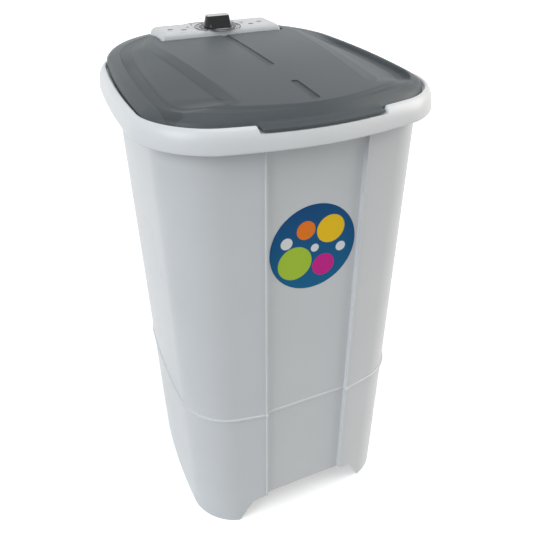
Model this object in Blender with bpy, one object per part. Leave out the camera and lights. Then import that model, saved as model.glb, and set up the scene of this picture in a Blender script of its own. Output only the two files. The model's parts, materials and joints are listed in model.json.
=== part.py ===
"""Semi-automatic washing machine: one tub, a smoked hinged lid and a belt-driven pulsator.

Metres, +Z up, front towards -Y, origin on the floor below the middle of the rim.
The mouldings are lofts of one kind of plan outline: a front edge that bows like a low gable, two
bowed sides, a bowed back edge and four conic corners. Turned and swept pieces fill the inside.
"""

from collections import namedtuple
from math import atan2, cos, hypot, pi, radians, sin, sqrt

import bmesh
import bpy
from mathutils import Matrix, Vector

# Driving dimensions
RIM_DEPTH = 0.554
RIM_FRONT_WIDTH = 0.491
RIM_BACK_WIDTH = 0.427
RIM_FRONT_BOW = 0.0434
RIM_BACK_BOW = 0.016
SIDE_BOW = 0.0166
FRONT_CORNER = 0.0726
BACK_CORNER = 0.126
RIM_OVERHANG = 0.0239
CABINET_HEIGHT = 0.8397
FRONT_SIDE_TAPER = 0.0148
BACK_SIDE_TAPER = 0.0125
BACK_WALL_TAPER = 0.0242
FRONT_BOW_LOSS = 0.0094
CORNER_LOSS = 0.005
GABLE_SOFTNESS_SHARE = 0.59
WALL = 0.003
SEAT_GAP = 0.0003
OVERRUN = 0.02

# Steps that round stretches are drawn with
CORNER_STEPS = 6
SIDE_STEPS = 4
BACK_STEPS = 4
ROUND_STEPS = 28
SMALL_STEPS = 16
PULLEY_STEPS = 40
WIDEST_STATION_SHARE = 0.96

Plan = namedtuple(
    "Plan", "front_half back_half front_y back_y front_bow back_bow side_bow front_round back_round"
)
Station = namedtuple("Station", "x bow_x setback drop")
Finish = namedtuple("Finish", "colour roughness metallic alpha")

WHITE_PLASTIC = Finish((0.66, 0.69, 0.72), 0.38, 0.0, 1.0)
TUB_PLASTIC = Finish((0.72, 0.74, 0.75), 0.35, 0.0, 1.0)
SMOKED_PLASTIC = Finish((0.10, 0.115, 0.12), 0.12, 0.0, 0.86)
PANEL_PLASTIC = Finish((0.74, 0.75, 0.77), 0.4, 0.0, 1.0)
BLACK_PLASTIC = Finish((0.02, 0.021, 0.022), 0.3, 0.0, 1.0)
GREY_PLASTIC = Finish((0.20, 0.21, 0.22), 0.5, 0.0, 1.0)
BLUE_PLASTIC = Finish((0.30, 0.42, 0.55), 0.4, 0.0, 1.0)
SILVER = Finish((0.62, 0.62, 0.62), 0.25, 0.9, 1.0)
STEEL = Finish((0.55, 0.55, 0.56), 0.35, 1.0, 1.0)
ALUMINIUM = Finish((0.60, 0.61, 0.62), 0.45, 1.0, 1.0)
BRONZE = Finish((0.52, 0.34, 0.14), 0.4, 1.0, 1.0)
RUBBER = Finish((0.02, 0.02, 0.02), 0.8, 0.0, 1.0)

RIM_PLAN = Plan(
    front_half=RIM_FRONT_WIDTH / 2,
    back_half=RIM_BACK_WIDTH / 2,
    front_y=RIM_FRONT_BOW - RIM_DEPTH / 2,
    back_y=RIM_DEPTH / 2 - RIM_BACK_BOW,
    front_bow=RIM_FRONT_BOW,
    back_bow=RIM_BACK_BOW,
    side_bow=SIDE_BOW,
    front_round=FRONT_CORNER + RIM_OVERHANG,
    back_round=BACK_CORNER,
)


def inset(plan, sides, front=None, back=None):
    """The plan drawn in by a distance, which may differ at the front and at the back."""
    front = sides if front is None else front
    back = sides if back is None else back
    return plan._replace(
        front_half=plan.front_half - sides,
        back_half=plan.back_half - sides,
        front_y=plan.front_y + front,
        back_y=plan.back_y - back,
    )


def parallel(plan, inward):
    """The plan drawn in by one distance all round, with corners that shrink along with it."""
    return inset(plan, inward)._replace(
        front_round=plan.front_round - inward,
        back_round=plan.back_round - inward,
    )


def mixed(low, high, share):
    """The plan part of the way from one plan to another."""
    return Plan(*(a + (b - a) * share for a, b in zip(low, high)))


CABINET_TOP_PLAN = inset(RIM_PLAN, RIM_OVERHANG)._replace(front_round=FRONT_CORNER)
CABINET_BASE_PLAN = CABINET_TOP_PLAN._replace(
    front_half=CABINET_TOP_PLAN.front_half - FRONT_SIDE_TAPER,
    back_half=CABINET_TOP_PLAN.back_half - BACK_SIDE_TAPER,
    back_y=CABINET_TOP_PLAN.back_y - BACK_WALL_TAPER,
    front_bow=RIM_FRONT_BOW - FRONT_BOW_LOSS,
    front_round=FRONT_CORNER - CORNER_LOSS,
    back_round=BACK_CORNER - CORNER_LOSS,
)


def cabinet_plan(z):
    """The cabinet's outer outline at a height: its walls taper towards the floor."""
    return mixed(CABINET_BASE_PLAN, CABINET_TOP_PLAN, z / CABINET_HEIGHT)


def station(x, setback=0.0, drop=0.0, bow_x=None):
    """A point of the front edge; bow_x says where on the bow its depth is read."""
    return Station(x, x if bow_x is None else bow_x, setback, drop)


def mirrored(stations):
    """Stations of the right half, given from the outside in, laid out on both halves."""
    return [s._replace(x=-s.x) for s in stations] + [s for s in reversed(stations) if s.x > 0]


def front_y(plan, x):
    """Depth of the front edge at x: two soft slopes that meet on the centre line."""
    soft = GABLE_SOFTNESS_SHARE
    across = x / plan.front_half
    fall = (sqrt(across * across + soft * soft) - soft) / (sqrt(1 + soft * soft) - soft)
    return plan.front_y - plan.front_bow * (1 - fall)


def back_y(plan, x):
    """Depth of the bowed back edge at x."""
    return plan.back_y + plan.back_bow * (1 - (x / plan.back_half) ** 2)


def shares(low, high, steps):
    """Evenly spaced values from low to high, both included."""
    return [low + (high - low) * i / steps for i in range(steps + 1)]


def conic(start, control, end):
    """The inner points of a corner drawn as a conic with the weight of a circle's quarter."""
    weight = cos(pi / 4)
    points = []
    for t in shares(0.0, 1.0, CORNER_STEPS)[1:-1]:
        a, b, c = (1 - t) ** 2, 2 * weight * t * (1 - t), t * t
        points.append((start * a + control * b + end * c) / (a + b + c))
    return points


def ring(plan, level, stations=()):
    """One closed outline in 3-D, counter-clockwise from above; level gives the height at a depth."""
    end = plan.front_half - plan.front_round
    widest = max((s.x for s in stations), default=end * WIDEST_STATION_SHARE)
    fit = min(1.0, end * WIDEST_STATION_SHARE / widest)
    inner = [s._replace(x=s.x * fit, bow_x=s.bow_x * fit) for s in stations]
    front = [station(-end), *inner, station(end)]
    points = [Vector((s.x, front_y(plan, s.bow_x) + s.setback)) for s in front]
    drops = [s.drop for s in front]

    corner_front = Vector((plan.front_half, plan.front_y))
    corner_back = Vector((plan.back_half, plan.back_y))
    run = corner_back - corner_front
    outward = Vector((run.y, -run.x)) / run.length
    trims = plan.front_round / run.length, 1 - plan.back_round / run.length
    side = [
        corner_front + run * t + outward * plan.side_bow * (1 - (2 * t - 1) ** 2)
        for t in shares(*trims, SIDE_STEPS)
    ]
    back_end = plan.back_half - plan.back_round
    back = [Vector((x, back_y(plan, x))) for x in shares(back_end, -back_end, BACK_STEPS)]
    right = conic(points[-1], corner_front, side[0]) + side + conic(side[-1], corner_back, back[0])
    left = [Vector((-p.x, p.y)) for p in reversed(right)]
    points += right + back + left
    drops += [0.0] * (len(points) - len(drops))
    return [Vector((p.x, p.y, level(p.y) - drop)) for p, drop in zip(points, drops)]


def flat(z):
    """A level that is the same at every depth."""
    return lambda y: z


def circle(radius, z, centre=(0.0, 0.0), steps=ROUND_STEPS):
    """A round outline about a point of the plan."""
    x, y = centre
    bearings = [2 * pi * i / steps for i in range(steps)]
    return [Vector((x + radius * cos(a), y + radius * sin(a), z)) for a in bearings]


def circle_like(outline, radius, z, centre):
    """A round outline with a point on the bearing of each point of another outline."""
    bearings = [atan2(p.y - centre[1], p.x - centre[0]) for p in outline]
    return [Vector((centre[0] + radius * cos(a), centre[1] + radius * sin(a), z)) for a in bearings]


def new_object(name, mesh, finish):
    """An object of the scene with its own Principled material."""
    obj = bpy.data.objects.new(name, mesh)
    bpy.context.scene.collection.objects.link(obj)
    if finish is not None:
        material = bpy.data.materials.new(name + "_finish")
        material.use_nodes = True
        shader = material.node_tree.nodes["Principled BSDF"]
        shader.inputs["Base Color"].default_value = (*finish.colour, 1.0)
        shader.inputs["Roughness"].default_value = finish.roughness
        shader.inputs["Metallic"].default_value = finish.metallic
        shader.inputs["Alpha"].default_value = finish.alpha
        mesh.materials.append(material)
    return obj


def loft(name, rings, finish, closed=False):
    """A solid through rings of equally many points: closed on itself, or with two filled ends."""
    bm = bmesh.new()
    loops = [[bm.verts.new(point) for point in points] for points in rings]
    pairs = list(zip(loops, loops[1:]))
    if closed:
        pairs.append((loops[-1], loops[0]))
    else:
        bm.faces.new(loops[0])
        bm.faces.new(loops[-1])
    for low, high in pairs:
        for i in range(len(low)):
            bm.faces.new((low[i - 1], low[i], high[i], high[i - 1]))
    bmesh.ops.recalc_face_normals(bm, faces=bm.faces)
    mesh = bpy.data.meshes.new(name)
    bm.to_mesh(mesh)
    bm.free()
    mesh.shade_smooth()
    mesh.set_sharp_from_angle(angle=radians(30))
    return new_object(name, mesh, finish)


def turned(name, profile, finish, centre=(0.0, 0.0), steps=ROUND_STEPS, closed=True):
    """A round piece about an upright axis; its profile is a list of radius and height."""
    return loft(name, [circle(r, z, centre, steps) for r, z in profile], finish, closed)


def box(name, low, high, finish, round_edge=0.0):
    """A block between two corners, with its edges rounded where a radius is given."""
    bm = bmesh.new()
    size = Vector(high) - Vector(low)
    middle = (Vector(high) + Vector(low)) / 2
    bmesh.ops.create_cube(bm, size=1.0, matrix=Matrix.Translation(middle) @ Matrix.Diagonal((*size, 1.0)))
    if round_edge:
        bmesh.ops.bevel(
            bm, geom=bm.edges[:], offset=round_edge, segments=2, profile=0.5, affect="EDGES", material=-1
        )
    mesh = bpy.data.meshes.new(name)
    bm.to_mesh(mesh)
    bm.free()
    return new_object(name, mesh, finish)


def side_prism(name, outline, low_x, high_x, finish):
    """A block with an outline of depth and height, drawn along X."""
    return loft(name, [[Vector((x, y, z)) for y, z in outline] for x in (low_x, high_x)], finish)


def front_prism(name, outline, low_y, high_y, finish):
    """A block with an outline of width and height, drawn along Y."""
    return loft(name, [[Vector((x, y, z)) for x, z in outline] for y in (low_y, high_y)], finish)


def cut(target, tool, operation="DIFFERENCE"):
    """Cut a solid from a piece, or join it on, and keep the tool as a hidden guide."""
    modifier = target.modifiers.new(tool.name, "BOOLEAN")
    modifier.operation = operation
    modifier.object = tool
    tool.display_type = "WIRE"
    tool.hide_render = True


def join(target, *tools):
    """Join solids on to a piece."""
    for tool in tools:
        cut(target, tool, "UNION")


def set_axis(point, *pieces):
    """Put the origin of moving pieces on their joint's axis."""
    for piece in pieces:
        piece.data.transform(Matrix.Translation(-Vector(point)))
        piece.location = point


def smooth_path(points, steps):
    """Points on a smooth curve through the given ones."""
    points = [Vector(p) for p in points]
    ends = [points[0] * 2 - points[1], *points, points[-1] * 2 - points[-2]]
    path = []
    for a, b, c, d in zip(ends, ends[1:], ends[2:], ends[3:]):
        for t in shares(0.0, 1.0, steps)[:-1]:
            curve = (b * 2) + (c - a) * t + (a * 2 - b * 5 + c * 4 - d) * t * t
            path.append((curve + (b * 3 - a - c * 3 + d) * t ** 3) / 2)
    return path + [points[-1]]


def swept(name, path, radii, finish, steps=SMALL_STEPS):
    """A tube along a path: radii are its outer one and, where it is hollow, its bore."""
    frames = []
    across = Vector((1.0, 0.0, 0.0))
    for i, point in enumerate(path):
        along = (path[min(i + 1, len(path) - 1)] - path[max(i - 1, 0)]).normalized()
        across = (across - along * across.dot(along)).normalized()
        frames.append((point, across, along.cross(across)))

    def hoop(frame, radius):
        point, u, v = frame
        angles = [2 * pi * i / steps for i in range(steps)]
        return [point + u * radius * cos(a) + v * radius * sin(a) for a in angles]

    rings = [hoop(frame, radii[0]) for frame in frames]
    if len(radii) > 1:
        rings += [hoop(frame, radii[1]) for frame in reversed(frames)]
    return loft(name, rings, finish, closed=len(radii) > 1)


# Cabinet: a tapered shell with a sunk front panel, a bead all round and arches between its feet
RECESS_HALF_WIDTH = 0.083
RECESS_DEPTH = 0.0065
RECESS_DRAFT = 0.0015
BEAD_HEIGHT = 0.2935
BEAD_WIDTH = 0.0055
BEAD_PROUD = 0.0022
BEAD_EDGE = 0.0012
FRONT_FOOT_WIDTH = 0.0648
ARCH_FLANK_RUN = 0.028
ARCH_FLANK_HEIGHT = 0.052
ARCH_HEIGHT = 0.063
BACK_ARCH_LOSS = 0.030
WING_SHARE = 0.5
CORD_HOLE_X = 0.03
CORD_HOLE_Z = 0.340
CORD_HOLE_RADIUS = 0.0110
DRAIN_HOLE_Z = 0.100
DRAIN_HOLE_RADIUS = 0.0155
FOOT_HEIGHT = 0.024
FOOT_SIDE_ROOM = 0.018
FRONT_FOOT_DEPTH = 0.0597
BACK_FOOT_WIDTH = 0.0431
BACK_FOOT_DEPTH = 0.0949
ARCH_FLOOR_HALF = CABINET_BASE_PLAN.front_half - FRONT_FOOT_WIDTH
ARCH_FLANK_HALF = ARCH_FLOOR_HALF - ARCH_FLANK_RUN
FOOT_FRONT_X = ARCH_FLOOR_HALF + FOOT_SIDE_ROOM
FOOT_FRONT_Y = CABINET_BASE_PLAN.front_y + FRONT_FOOT_DEPTH
FOOT_BACK_X = CABINET_BASE_PLAN.back_half - BACK_FOOT_WIDTH
FOOT_BACK_Y = CABINET_BASE_PLAN.back_y - BACK_FOOT_DEPTH


def cabinet_stations(plan):
    """Front edge of the cabinet: two wings, and between two steps the flat floor of the recess."""
    end = plan.front_half - plan.front_round
    rib = RECESS_HALF_WIDTH
    floor = rib - RECESS_DRAFT
    return mirrored([
        station(rib + (end - rib) * WING_SHARE),
        station(rib),
        station(floor, setback=RECESS_DEPTH, bow_x=rib),
        station(floor / 3, setback=RECESS_DEPTH, bow_x=rib),
    ])


def cabinet_ring(z, inward):
    """The cabinet's outline at a height, drawn in by a distance."""
    plan = inset(cabinet_plan(z), inward)
    return ring(plan, flat(z), cabinet_stations(cabinet_plan(z)))


def back_wall(x, z):
    """A point of the cabinet's outer back face."""
    return Vector((x, back_y(cabinet_plan(z), x), z))


def back_normal(x, z):
    """The way that the cabinet's back face looks at a point."""
    up = back_wall(x, z + WALL) - back_wall(x, z)
    across = back_wall(x + WALL, z) - back_wall(x - WALL, z)
    return up.cross(across).normalized()


def turn_to_back(obj, x, z):
    """Turn an upright piece to stand out of the cabinet's back face at a point."""
    turn = back_normal(x, z).to_track_quat("Z", "Y").to_matrix().to_4x4()
    obj.data.transform(Matrix.Translation(back_wall(x, z)) @ turn)


def build_cabinet():
    half = BEAD_WIDTH / 2
    outer = [
        (0.0, 0.0),
        (BEAD_HEIGHT - half, 0.0),
        (BEAD_HEIGHT - half + BEAD_EDGE, -BEAD_PROUD),
        (BEAD_HEIGHT + half - BEAD_EDGE, -BEAD_PROUD),
        (BEAD_HEIGHT + half, 0.0),
        (CABINET_HEIGHT, 0.0),
    ]
    inner = [(CABINET_HEIGHT, WALL), (BEAD_HEIGHT, WALL), (0.0, WALL)]
    shell = loft("cabinet_shell", [cabinet_ring(z, d) for z, d in outer + inner], WHITE_PLASTIC, closed=True)

    for name, loss, reach in (("front", 0.0, -RIM_DEPTH), ("back", BACK_ARCH_LOSS, RIM_DEPTH)):
        right = [
            (ARCH_FLOOR_HALF - loss, -OVERRUN),
            (ARCH_FLOOR_HALF - loss, 0.0),
            (ARCH_FLANK_HALF - loss, ARCH_FLANK_HEIGHT),
            (RECESS_HALF_WIDTH - loss, ARCH_HEIGHT),
        ]
        arch = right + [(-x, z) for x, z in reversed(right)]
        cut(shell, front_prism(f"{name}_arch_cutter", arch, min(0.0, reach), max(0.0, reach), None))

    through = [(CORD_HOLE_RADIUS, -OVERRUN), (CORD_HOLE_RADIUS, OVERRUN)]
    cord_hole = turned("cord_hole_cutter", through, None, closed=False, steps=SMALL_STEPS)
    turn_to_back(cord_hole, CORD_HOLE_X, CORD_HOLE_Z)
    cut(shell, cord_hole)
    through = [(DRAIN_HOLE_RADIUS, -OVERRUN), (DRAIN_HOLE_RADIUS, OVERRUN)]
    drain_hole = turned("drain_hole_cutter", through, None, closed=False, steps=SMALL_STEPS)
    turn_to_back(drain_hole, -CORD_HOLE_X, DRAIN_HOLE_Z)
    cut(shell, drain_hole)


def build_feet():
    """Corner blocks inside the shell's four feet, flush with the floor."""
    reach = RIM_DEPTH
    corners = {
        "foot_front_left": (-FOOT_FRONT_X, FOOT_FRONT_Y, -reach, -reach),
        "foot_front_right": (FOOT_FRONT_X, FOOT_FRONT_Y, reach, -reach),
        "foot_back_left": (-FOOT_BACK_X, FOOT_BACK_Y, -reach, reach),
        "foot_back_right": (FOOT_BACK_X, FOOT_BACK_Y, reach, reach),
    }
    inward = WALL + SEAT_GAP
    for name, (near_x, near_y, far_x, far_y) in corners.items():
        rings = [cabinet_ring(z, inward) for z in (0.0, FOOT_HEIGHT)]
        foot = loft(name, rings, RUBBER)
        low = (min(near_x, far_x), min(near_y, far_y), -OVERRUN)
        high = (max(near_x, far_x), max(near_y, far_y), FOOT_HEIGHT + OVERRUN)
        cut(foot, box(name + "_bound", low, high, None), "INTERSECT")


# Top frame: the rolled rim, the ledge that the lid lies on and the deck behind the tub
RIM_SKIRT = 0.0197
RIM_RISE = 0.0138
DECK_RISE = 0.0066
RIM_BOTTOM = CABINET_HEIGHT - RIM_SKIRT
RIM_CREST = CABINET_HEIGHT + RIM_RISE
DECK_TOP = CABINET_HEIGHT + DECK_RISE
FLANGE_TOP = CABINET_HEIGHT + SEAT_GAP + WALL
RIM_PROFILE = (
    (0.0, 0.0),
    (0.0004, 0.008),
    (0.0024, 0.020),
    (0.0060, 0.0285),
    (0.0096, 0.0325),
    (0.0116, 0.0335),
)
CREST_WIDTH = 0.0022
LEDGE_INSET = 0.0150
LEDGE_STEP = 0.0016
NOTCH_HALF_WIDTH = 0.1035
NOTCH_RUN = 0.005
NOTCH_DROP = 0.0095
GRIP_STATIONS = (0.126, 0.074, 0.048, 0.023, 0.0)
OPENING_FRONT_SIDE_ROOM = 0.0485
OPENING_BACK_SIDE_ROOM = 0.0275
OPENING_FRONT_ROOM = 0.0376
DECK_DEPTH = 0.163
OPENING_BOW_LOSS = 0.0074
OPENING_BACK_BOW = 0.008
OPENING_SIDE_BOW = 0.006
OPENING_CORNER = 0.068
OPENING_PLAN = Plan(
    front_half=RIM_PLAN.front_half - OPENING_FRONT_SIDE_ROOM,
    back_half=RIM_PLAN.back_half - OPENING_BACK_SIDE_ROOM,
    front_y=RIM_PLAN.front_y + OPENING_FRONT_ROOM,
    back_y=RIM_PLAN.back_y - DECK_DEPTH,
    front_bow=RIM_FRONT_BOW - OPENING_BOW_LOSS,
    back_bow=OPENING_BACK_BOW,
    side_bow=OPENING_SIDE_BOW,
    front_round=OPENING_CORNER,
    back_round=OPENING_CORNER,
)
TUB_LIP = 0.007
DECK_HOLE_X = 0.022
DECK_HOLE_RADIUS = 0.008
PANEL_BACK_ROOM = 0.048
PANEL_DEPTH = 0.084
KNOB_SETBACK = 0.031
KNOB_Y = RIM_PLAN.back_y - PANEL_BACK_ROOM - PANEL_DEPTH + KNOB_SETBACK
WIRE_SETBACK = 0.018
DECK_HOLE_Y = KNOB_Y + WIRE_SETBACK


def grip_stations(setback=0.0, drop=0.0, half=NOTCH_HALF_WIDTH, run=NOTCH_RUN):
    """Front edge of the rim or the lid, with the stretch of the grip moved out or down."""
    outside, *middle = GRIP_STATIONS
    return mirrored([
        station(outside),
        station(half),
        station(half - run, setback, drop),
        *(station(x, setback, drop) for x in middle),
    ])


def build_top_frame():
    plain = grip_stations()
    notch_floor = RIM_CREST - NOTCH_DROP

    def rim_ring(inward, z):
        drop = max(0.0, z - notch_floor)
        return ring(parallel(RIM_PLAN, inward), flat(z), grip_stations(drop=drop))

    outer = [rim_ring(d, RIM_BOTTOM + rise) for d, rise in RIM_PROFILE]
    crest_inner = RIM_PROFILE[-1][0] + CREST_WIDTH
    outer += [rim_ring(crest_inner, RIM_CREST), rim_ring(LEDGE_INSET, DECK_TOP)]
    outer += [ring(parallel(RIM_PLAN, LEDGE_INSET + LEDGE_STEP), flat(DECK_TOP), plain)]
    mouth = inset(OPENING_PLAN, WALL + SEAT_GAP)
    lip_bottom = FLANGE_TOP - TUB_LIP
    outer += [ring(mouth, flat(z), plain) for z in (DECK_TOP, lip_bottom)]

    throat = inset(mouth, -WALL + 2 * SEAT_GAP)
    under = FLANGE_TOP + SEAT_GAP
    inner = [ring(throat, flat(z), plain) for z in (lip_bottom, under)]
    shoulder = RIM_PROFILE[3]
    inner += [ring(parallel(RIM_PLAN, LEDGE_INSET + LEDGE_STEP), flat(under), plain)]
    inner += [ring(parallel(RIM_PLAN, shoulder[0] + WALL), flat(under - SEAT_GAP), plain)]
    skirt = (RIM_BOTTOM + RIM_PROFILE[1][1], RIM_BOTTOM)
    inner += [ring(parallel(RIM_PLAN, WALL), flat(z), plain) for z in skirt]
    frame = loft("top_frame", outer + inner, WHITE_PLASTIC, closed=True)
    tool = turned(
        "frame_wire_hole_cutter",
        [(DECK_HOLE_RADIUS, DECK_TOP - OVERRUN), (DECK_HOLE_RADIUS, DECK_TOP + OVERRUN)],
        None,
        (DECK_HOLE_X, DECK_HOLE_Y),
        SMALL_STEPS,
        closed=False,
    )
    cut(frame, tool)


# Wash tub: flange, tapering walls, floor with a round well for the pulsator
FLANGE_PLAN = inset(CABINET_TOP_PLAN, -WALL)
TUB_FLOOR = 0.405
TUB_FILLET = 0.016
WELL_DRAFT = 0.006
WELL_DEPTH = 0.012
WELL_BACK_MARGIN = 0.0035
WELL_FRONT_MARGIN = 0.018
WELL_SIDE_MARGIN = 0.017
BOSS_RADIUS = 0.026
BOSS_RISE = 0.002
TUB_FRONT_SIDE_DRAFT = 0.029
TUB_BACK_SIDE_DRAFT = 0.026
TUB_FRONT_DRAFT = 0.012
TUB_BACK_LEAN = 0.0035
TUB_BOW_LOSS = 0.014
TUB_BACK_BOW = 0.003
TUB_SIDE_BOW = 0.004
TUB_CORNER = 0.056
TUB_BASE_PLAN = Plan(
    front_half=OPENING_PLAN.front_half - TUB_FRONT_SIDE_DRAFT,
    back_half=OPENING_PLAN.back_half - TUB_BACK_SIDE_DRAFT,
    front_y=OPENING_PLAN.front_y + TUB_FRONT_DRAFT,
    back_y=OPENING_PLAN.back_y + TUB_BACK_LEAN,
    front_bow=OPENING_PLAN.front_bow - TUB_BOW_LOSS,
    back_bow=TUB_BACK_BOW,
    side_bow=TUB_SIDE_BOW,
    front_round=TUB_CORNER,
    back_round=TUB_CORNER,
)
NECK_RADIUS = 0.0180
NECK_CLEARANCE = 0.0005
DRAIN_SIDE_ROOM = 0.046
DRAIN_BACK_ROOM = 0.051
DRAIN_X = DRAIN_SIDE_ROOM - TUB_BASE_PLAN.back_half
DRAIN_Y = TUB_BASE_PLAN.back_y - DRAIN_BACK_ROOM
DRAIN_BORE = 0.0145
POST_X = 0.050
POST_FRONT_REACH = 0.044
POST_BACK_REACH = 0.060
POST_RADIUS = 0.011
MOUNT_THICKNESS = 0.008
BRACKET_DROP = 0.0456
BRACKET_TOP = TUB_FLOOR - BRACKET_DROP
SCRUB_RIB_X_SHARES = (-0.5, -0.25, 0.0, 0.25, 0.5)
SCRUB_RIB_RADIUS = 0.005
SCRUB_RIB_TOP_SHARE = 0.78
SCRUB_RIB_BOTTOM_SHARE = 0.14

# Drive line, seen from above: the well fills the tub's floor, and the motor stands at the back wall
WELL_BACK = TUB_BASE_PLAN.back_y - TUB_FILLET - WELL_BACK_MARGIN
WELL_FRONT = TUB_BASE_PLAN.front_y - TUB_BASE_PLAN.front_bow + TUB_FILLET + WELL_FRONT_MARGIN
WELL_SIDE = min(TUB_BASE_PLAN.front_half, TUB_BASE_PLAN.back_half) - TUB_FILLET - WELL_SIDE_MARGIN
WELL_RADIUS = min((WELL_BACK - WELL_FRONT) / 2, WELL_SIDE) - WELL_DRAFT
DRIVE_Y = (WELL_BACK + WELL_FRONT) / 2
MOTOR_BACK_ROOM = 0.0779
MOTOR_Y = CABINET_BASE_PLAN.back_y - MOTOR_BACK_ROOM
DRIVE_SHAFT_RADIUS = 0.006
MOTOR_SHAFT_RADIUS = 0.005
RUNNING_GAP = 0.0003


def tub_plan(z):
    """The tub's inner outline at a height between its floor fillet and its mouth."""
    low = TUB_FLOOR + TUB_FILLET
    return mixed(TUB_BASE_PLAN, OPENING_PLAN, (z - low) / (FLANGE_TOP - low))


def tub_back_rib(number, share):
    """An upright half-round rib on the tub's back wall."""
    span = FLANGE_TOP - TUB_FLOOR
    low = TUB_FLOOR + span * SCRUB_RIB_BOTTOM_SHARE
    high = TUB_FLOOR + span * SCRUB_RIB_TOP_SHARE
    path = []
    for z in (low, high):
        plan = tub_plan(z)
        x = share * plan.back_half
        path.append(Vector((x, back_y(plan, x) + SCRUB_RIB_RADIUS / 3, z)))
    return swept(f"scrub_rib_{number}_form", path, (SCRUB_RIB_RADIUS,), None, steps=8)


def build_wash_tub():
    centre = (0.0, DRIVE_Y)
    fillet_top = TUB_FLOOR + TUB_FILLET
    fillet_share = 1 - cos(pi / 4)
    soft = inset(TUB_BASE_PLAN, TUB_FILLET * fillet_share)
    floor = inset(TUB_BASE_PLAN, TUB_FILLET)
    stations = grip_stations()
    well_floor = TUB_FLOOR - WELL_DEPTH
    hole = NECK_RADIUS + NECK_CLEARANCE

    wet = [
        ring(FLANGE_PLAN, flat(FLANGE_TOP), stations),
        ring(OPENING_PLAN, flat(FLANGE_TOP), stations),
        ring(TUB_BASE_PLAN, flat(fillet_top), stations),
        ring(soft, flat(TUB_FLOOR + TUB_FILLET * fillet_share), stations),
        ring(floor, flat(TUB_FLOOR), stations),
    ]
    floor_outline = wet[-1]
    rounds = [
        (WELL_RADIUS + WELL_DRAFT, TUB_FLOOR),
        (WELL_RADIUS, well_floor),
        (BOSS_RADIUS, well_floor),
        (BOSS_RADIUS - BOSS_RISE, well_floor + BOSS_RISE),
        (hole, well_floor + BOSS_RISE),
    ]
    wet += [circle_like(floor_outline, r, z, centre) for r, z in rounds]
    rounds = [
        (hole, well_floor - WALL),
        (WELL_RADIUS + WALL, well_floor - WALL),
        (WELL_RADIUS + WELL_DRAFT + WALL, TUB_FLOOR - WALL),
    ]
    dry = [circle_like(floor_outline, r, z, centre) for r, z in rounds]
    dry += [
        ring(floor, flat(TUB_FLOOR - WALL), stations),
        ring(inset(soft, -WALL), flat(TUB_FLOOR + TUB_FILLET * fillet_share - WALL), stations),
        ring(inset(TUB_BASE_PLAN, -WALL), flat(fillet_top), stations),
        ring(inset(OPENING_PLAN, -WALL), flat(FLANGE_TOP - WALL), stations),
        ring(FLANGE_PLAN, flat(FLANGE_TOP - WALL), stations),
    ]
    tub = loft("wash_tub", wet + dry, TUB_PLASTIC, closed=True)
    join(tub, *(tub_back_rib(i + 1, share) for i, share in enumerate(SCRUB_RIB_X_SHARES)))

    post_top = well_floor - WALL / 2
    post_bottom = BRACKET_TOP + MOUNT_THICKNESS + 2 * SEAT_GAP
    for number, (x, y) in enumerate(mount_places()):
        post = turned(
            f"tub_post_{number + 1}_form",
            [(POST_RADIUS, post_bottom), (POST_RADIUS, post_top)],
            None,
            (x, y),
            SMALL_STEPS,
            closed=False,
        )
        join(tub, post)
    holes = (
        ("tub_drain_cutter", DRAIN_BORE, (DRAIN_X, DRAIN_Y), TUB_FLOOR),
        ("tub_wire_hole_cutter", DECK_HOLE_RADIUS, (DECK_HOLE_X, DECK_HOLE_Y), FLANGE_TOP),
    )
    for name, radius, place, z in holes:
        profile = [(radius, z - OVERRUN), (radius, z + OVERRUN)]
        cut(tub, turned(name, profile, None, place, SMALL_STEPS, closed=False))


def mount_places():
    """Plan places of the four rubber mounts between the tub and the motor bracket."""
    rows = DRIVE_Y - POST_FRONT_REACH, DRIVE_Y + POST_BACK_REACH
    return [(x, y) for y in rows for x in (-POST_X, POST_X)]


# Control panel: a low box on the deck that rises through the lid's window
PANEL_WIDTH = 0.219
PANEL_FRONT_CORNER = 0.007
PANEL_BACK_CORNER = 0.010
PANEL_HEIGHT = 0.0497
PANEL_PLAN = Plan(
    front_half=PANEL_WIDTH / 2,
    back_half=PANEL_WIDTH / 2,
    front_y=KNOB_Y - KNOB_SETBACK,
    back_y=KNOB_Y - KNOB_SETBACK + PANEL_DEPTH,
    front_bow=0.0,
    back_bow=0.0,
    side_bow=0.0,
    front_round=PANEL_FRONT_CORNER,
    back_round=PANEL_BACK_CORNER,
)
PANEL_TOP = DECK_TOP + PANEL_HEIGHT
PANEL_PROFILE = ((0.0, 0.014), (0.0010, 0.0070), (0.0034, 0.0022), (0.0065, 0.0))
KNOB_X = 0.0
KNOB_BORE = 0.0045
DIAL_RADIUS = 0.0420
DIAL_WIDTH = 0.0130
DIAL_HEIGHT = 0.0008
TIMER_HALF_WIDTH = 0.033
TIMER_HALF_DEPTH = 0.025
TIMER_HEIGHT = 0.034
TIMER_SHAFT_RADIUS = 0.003
TIMER_SHAFT_LENGTH = 0.018


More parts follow.
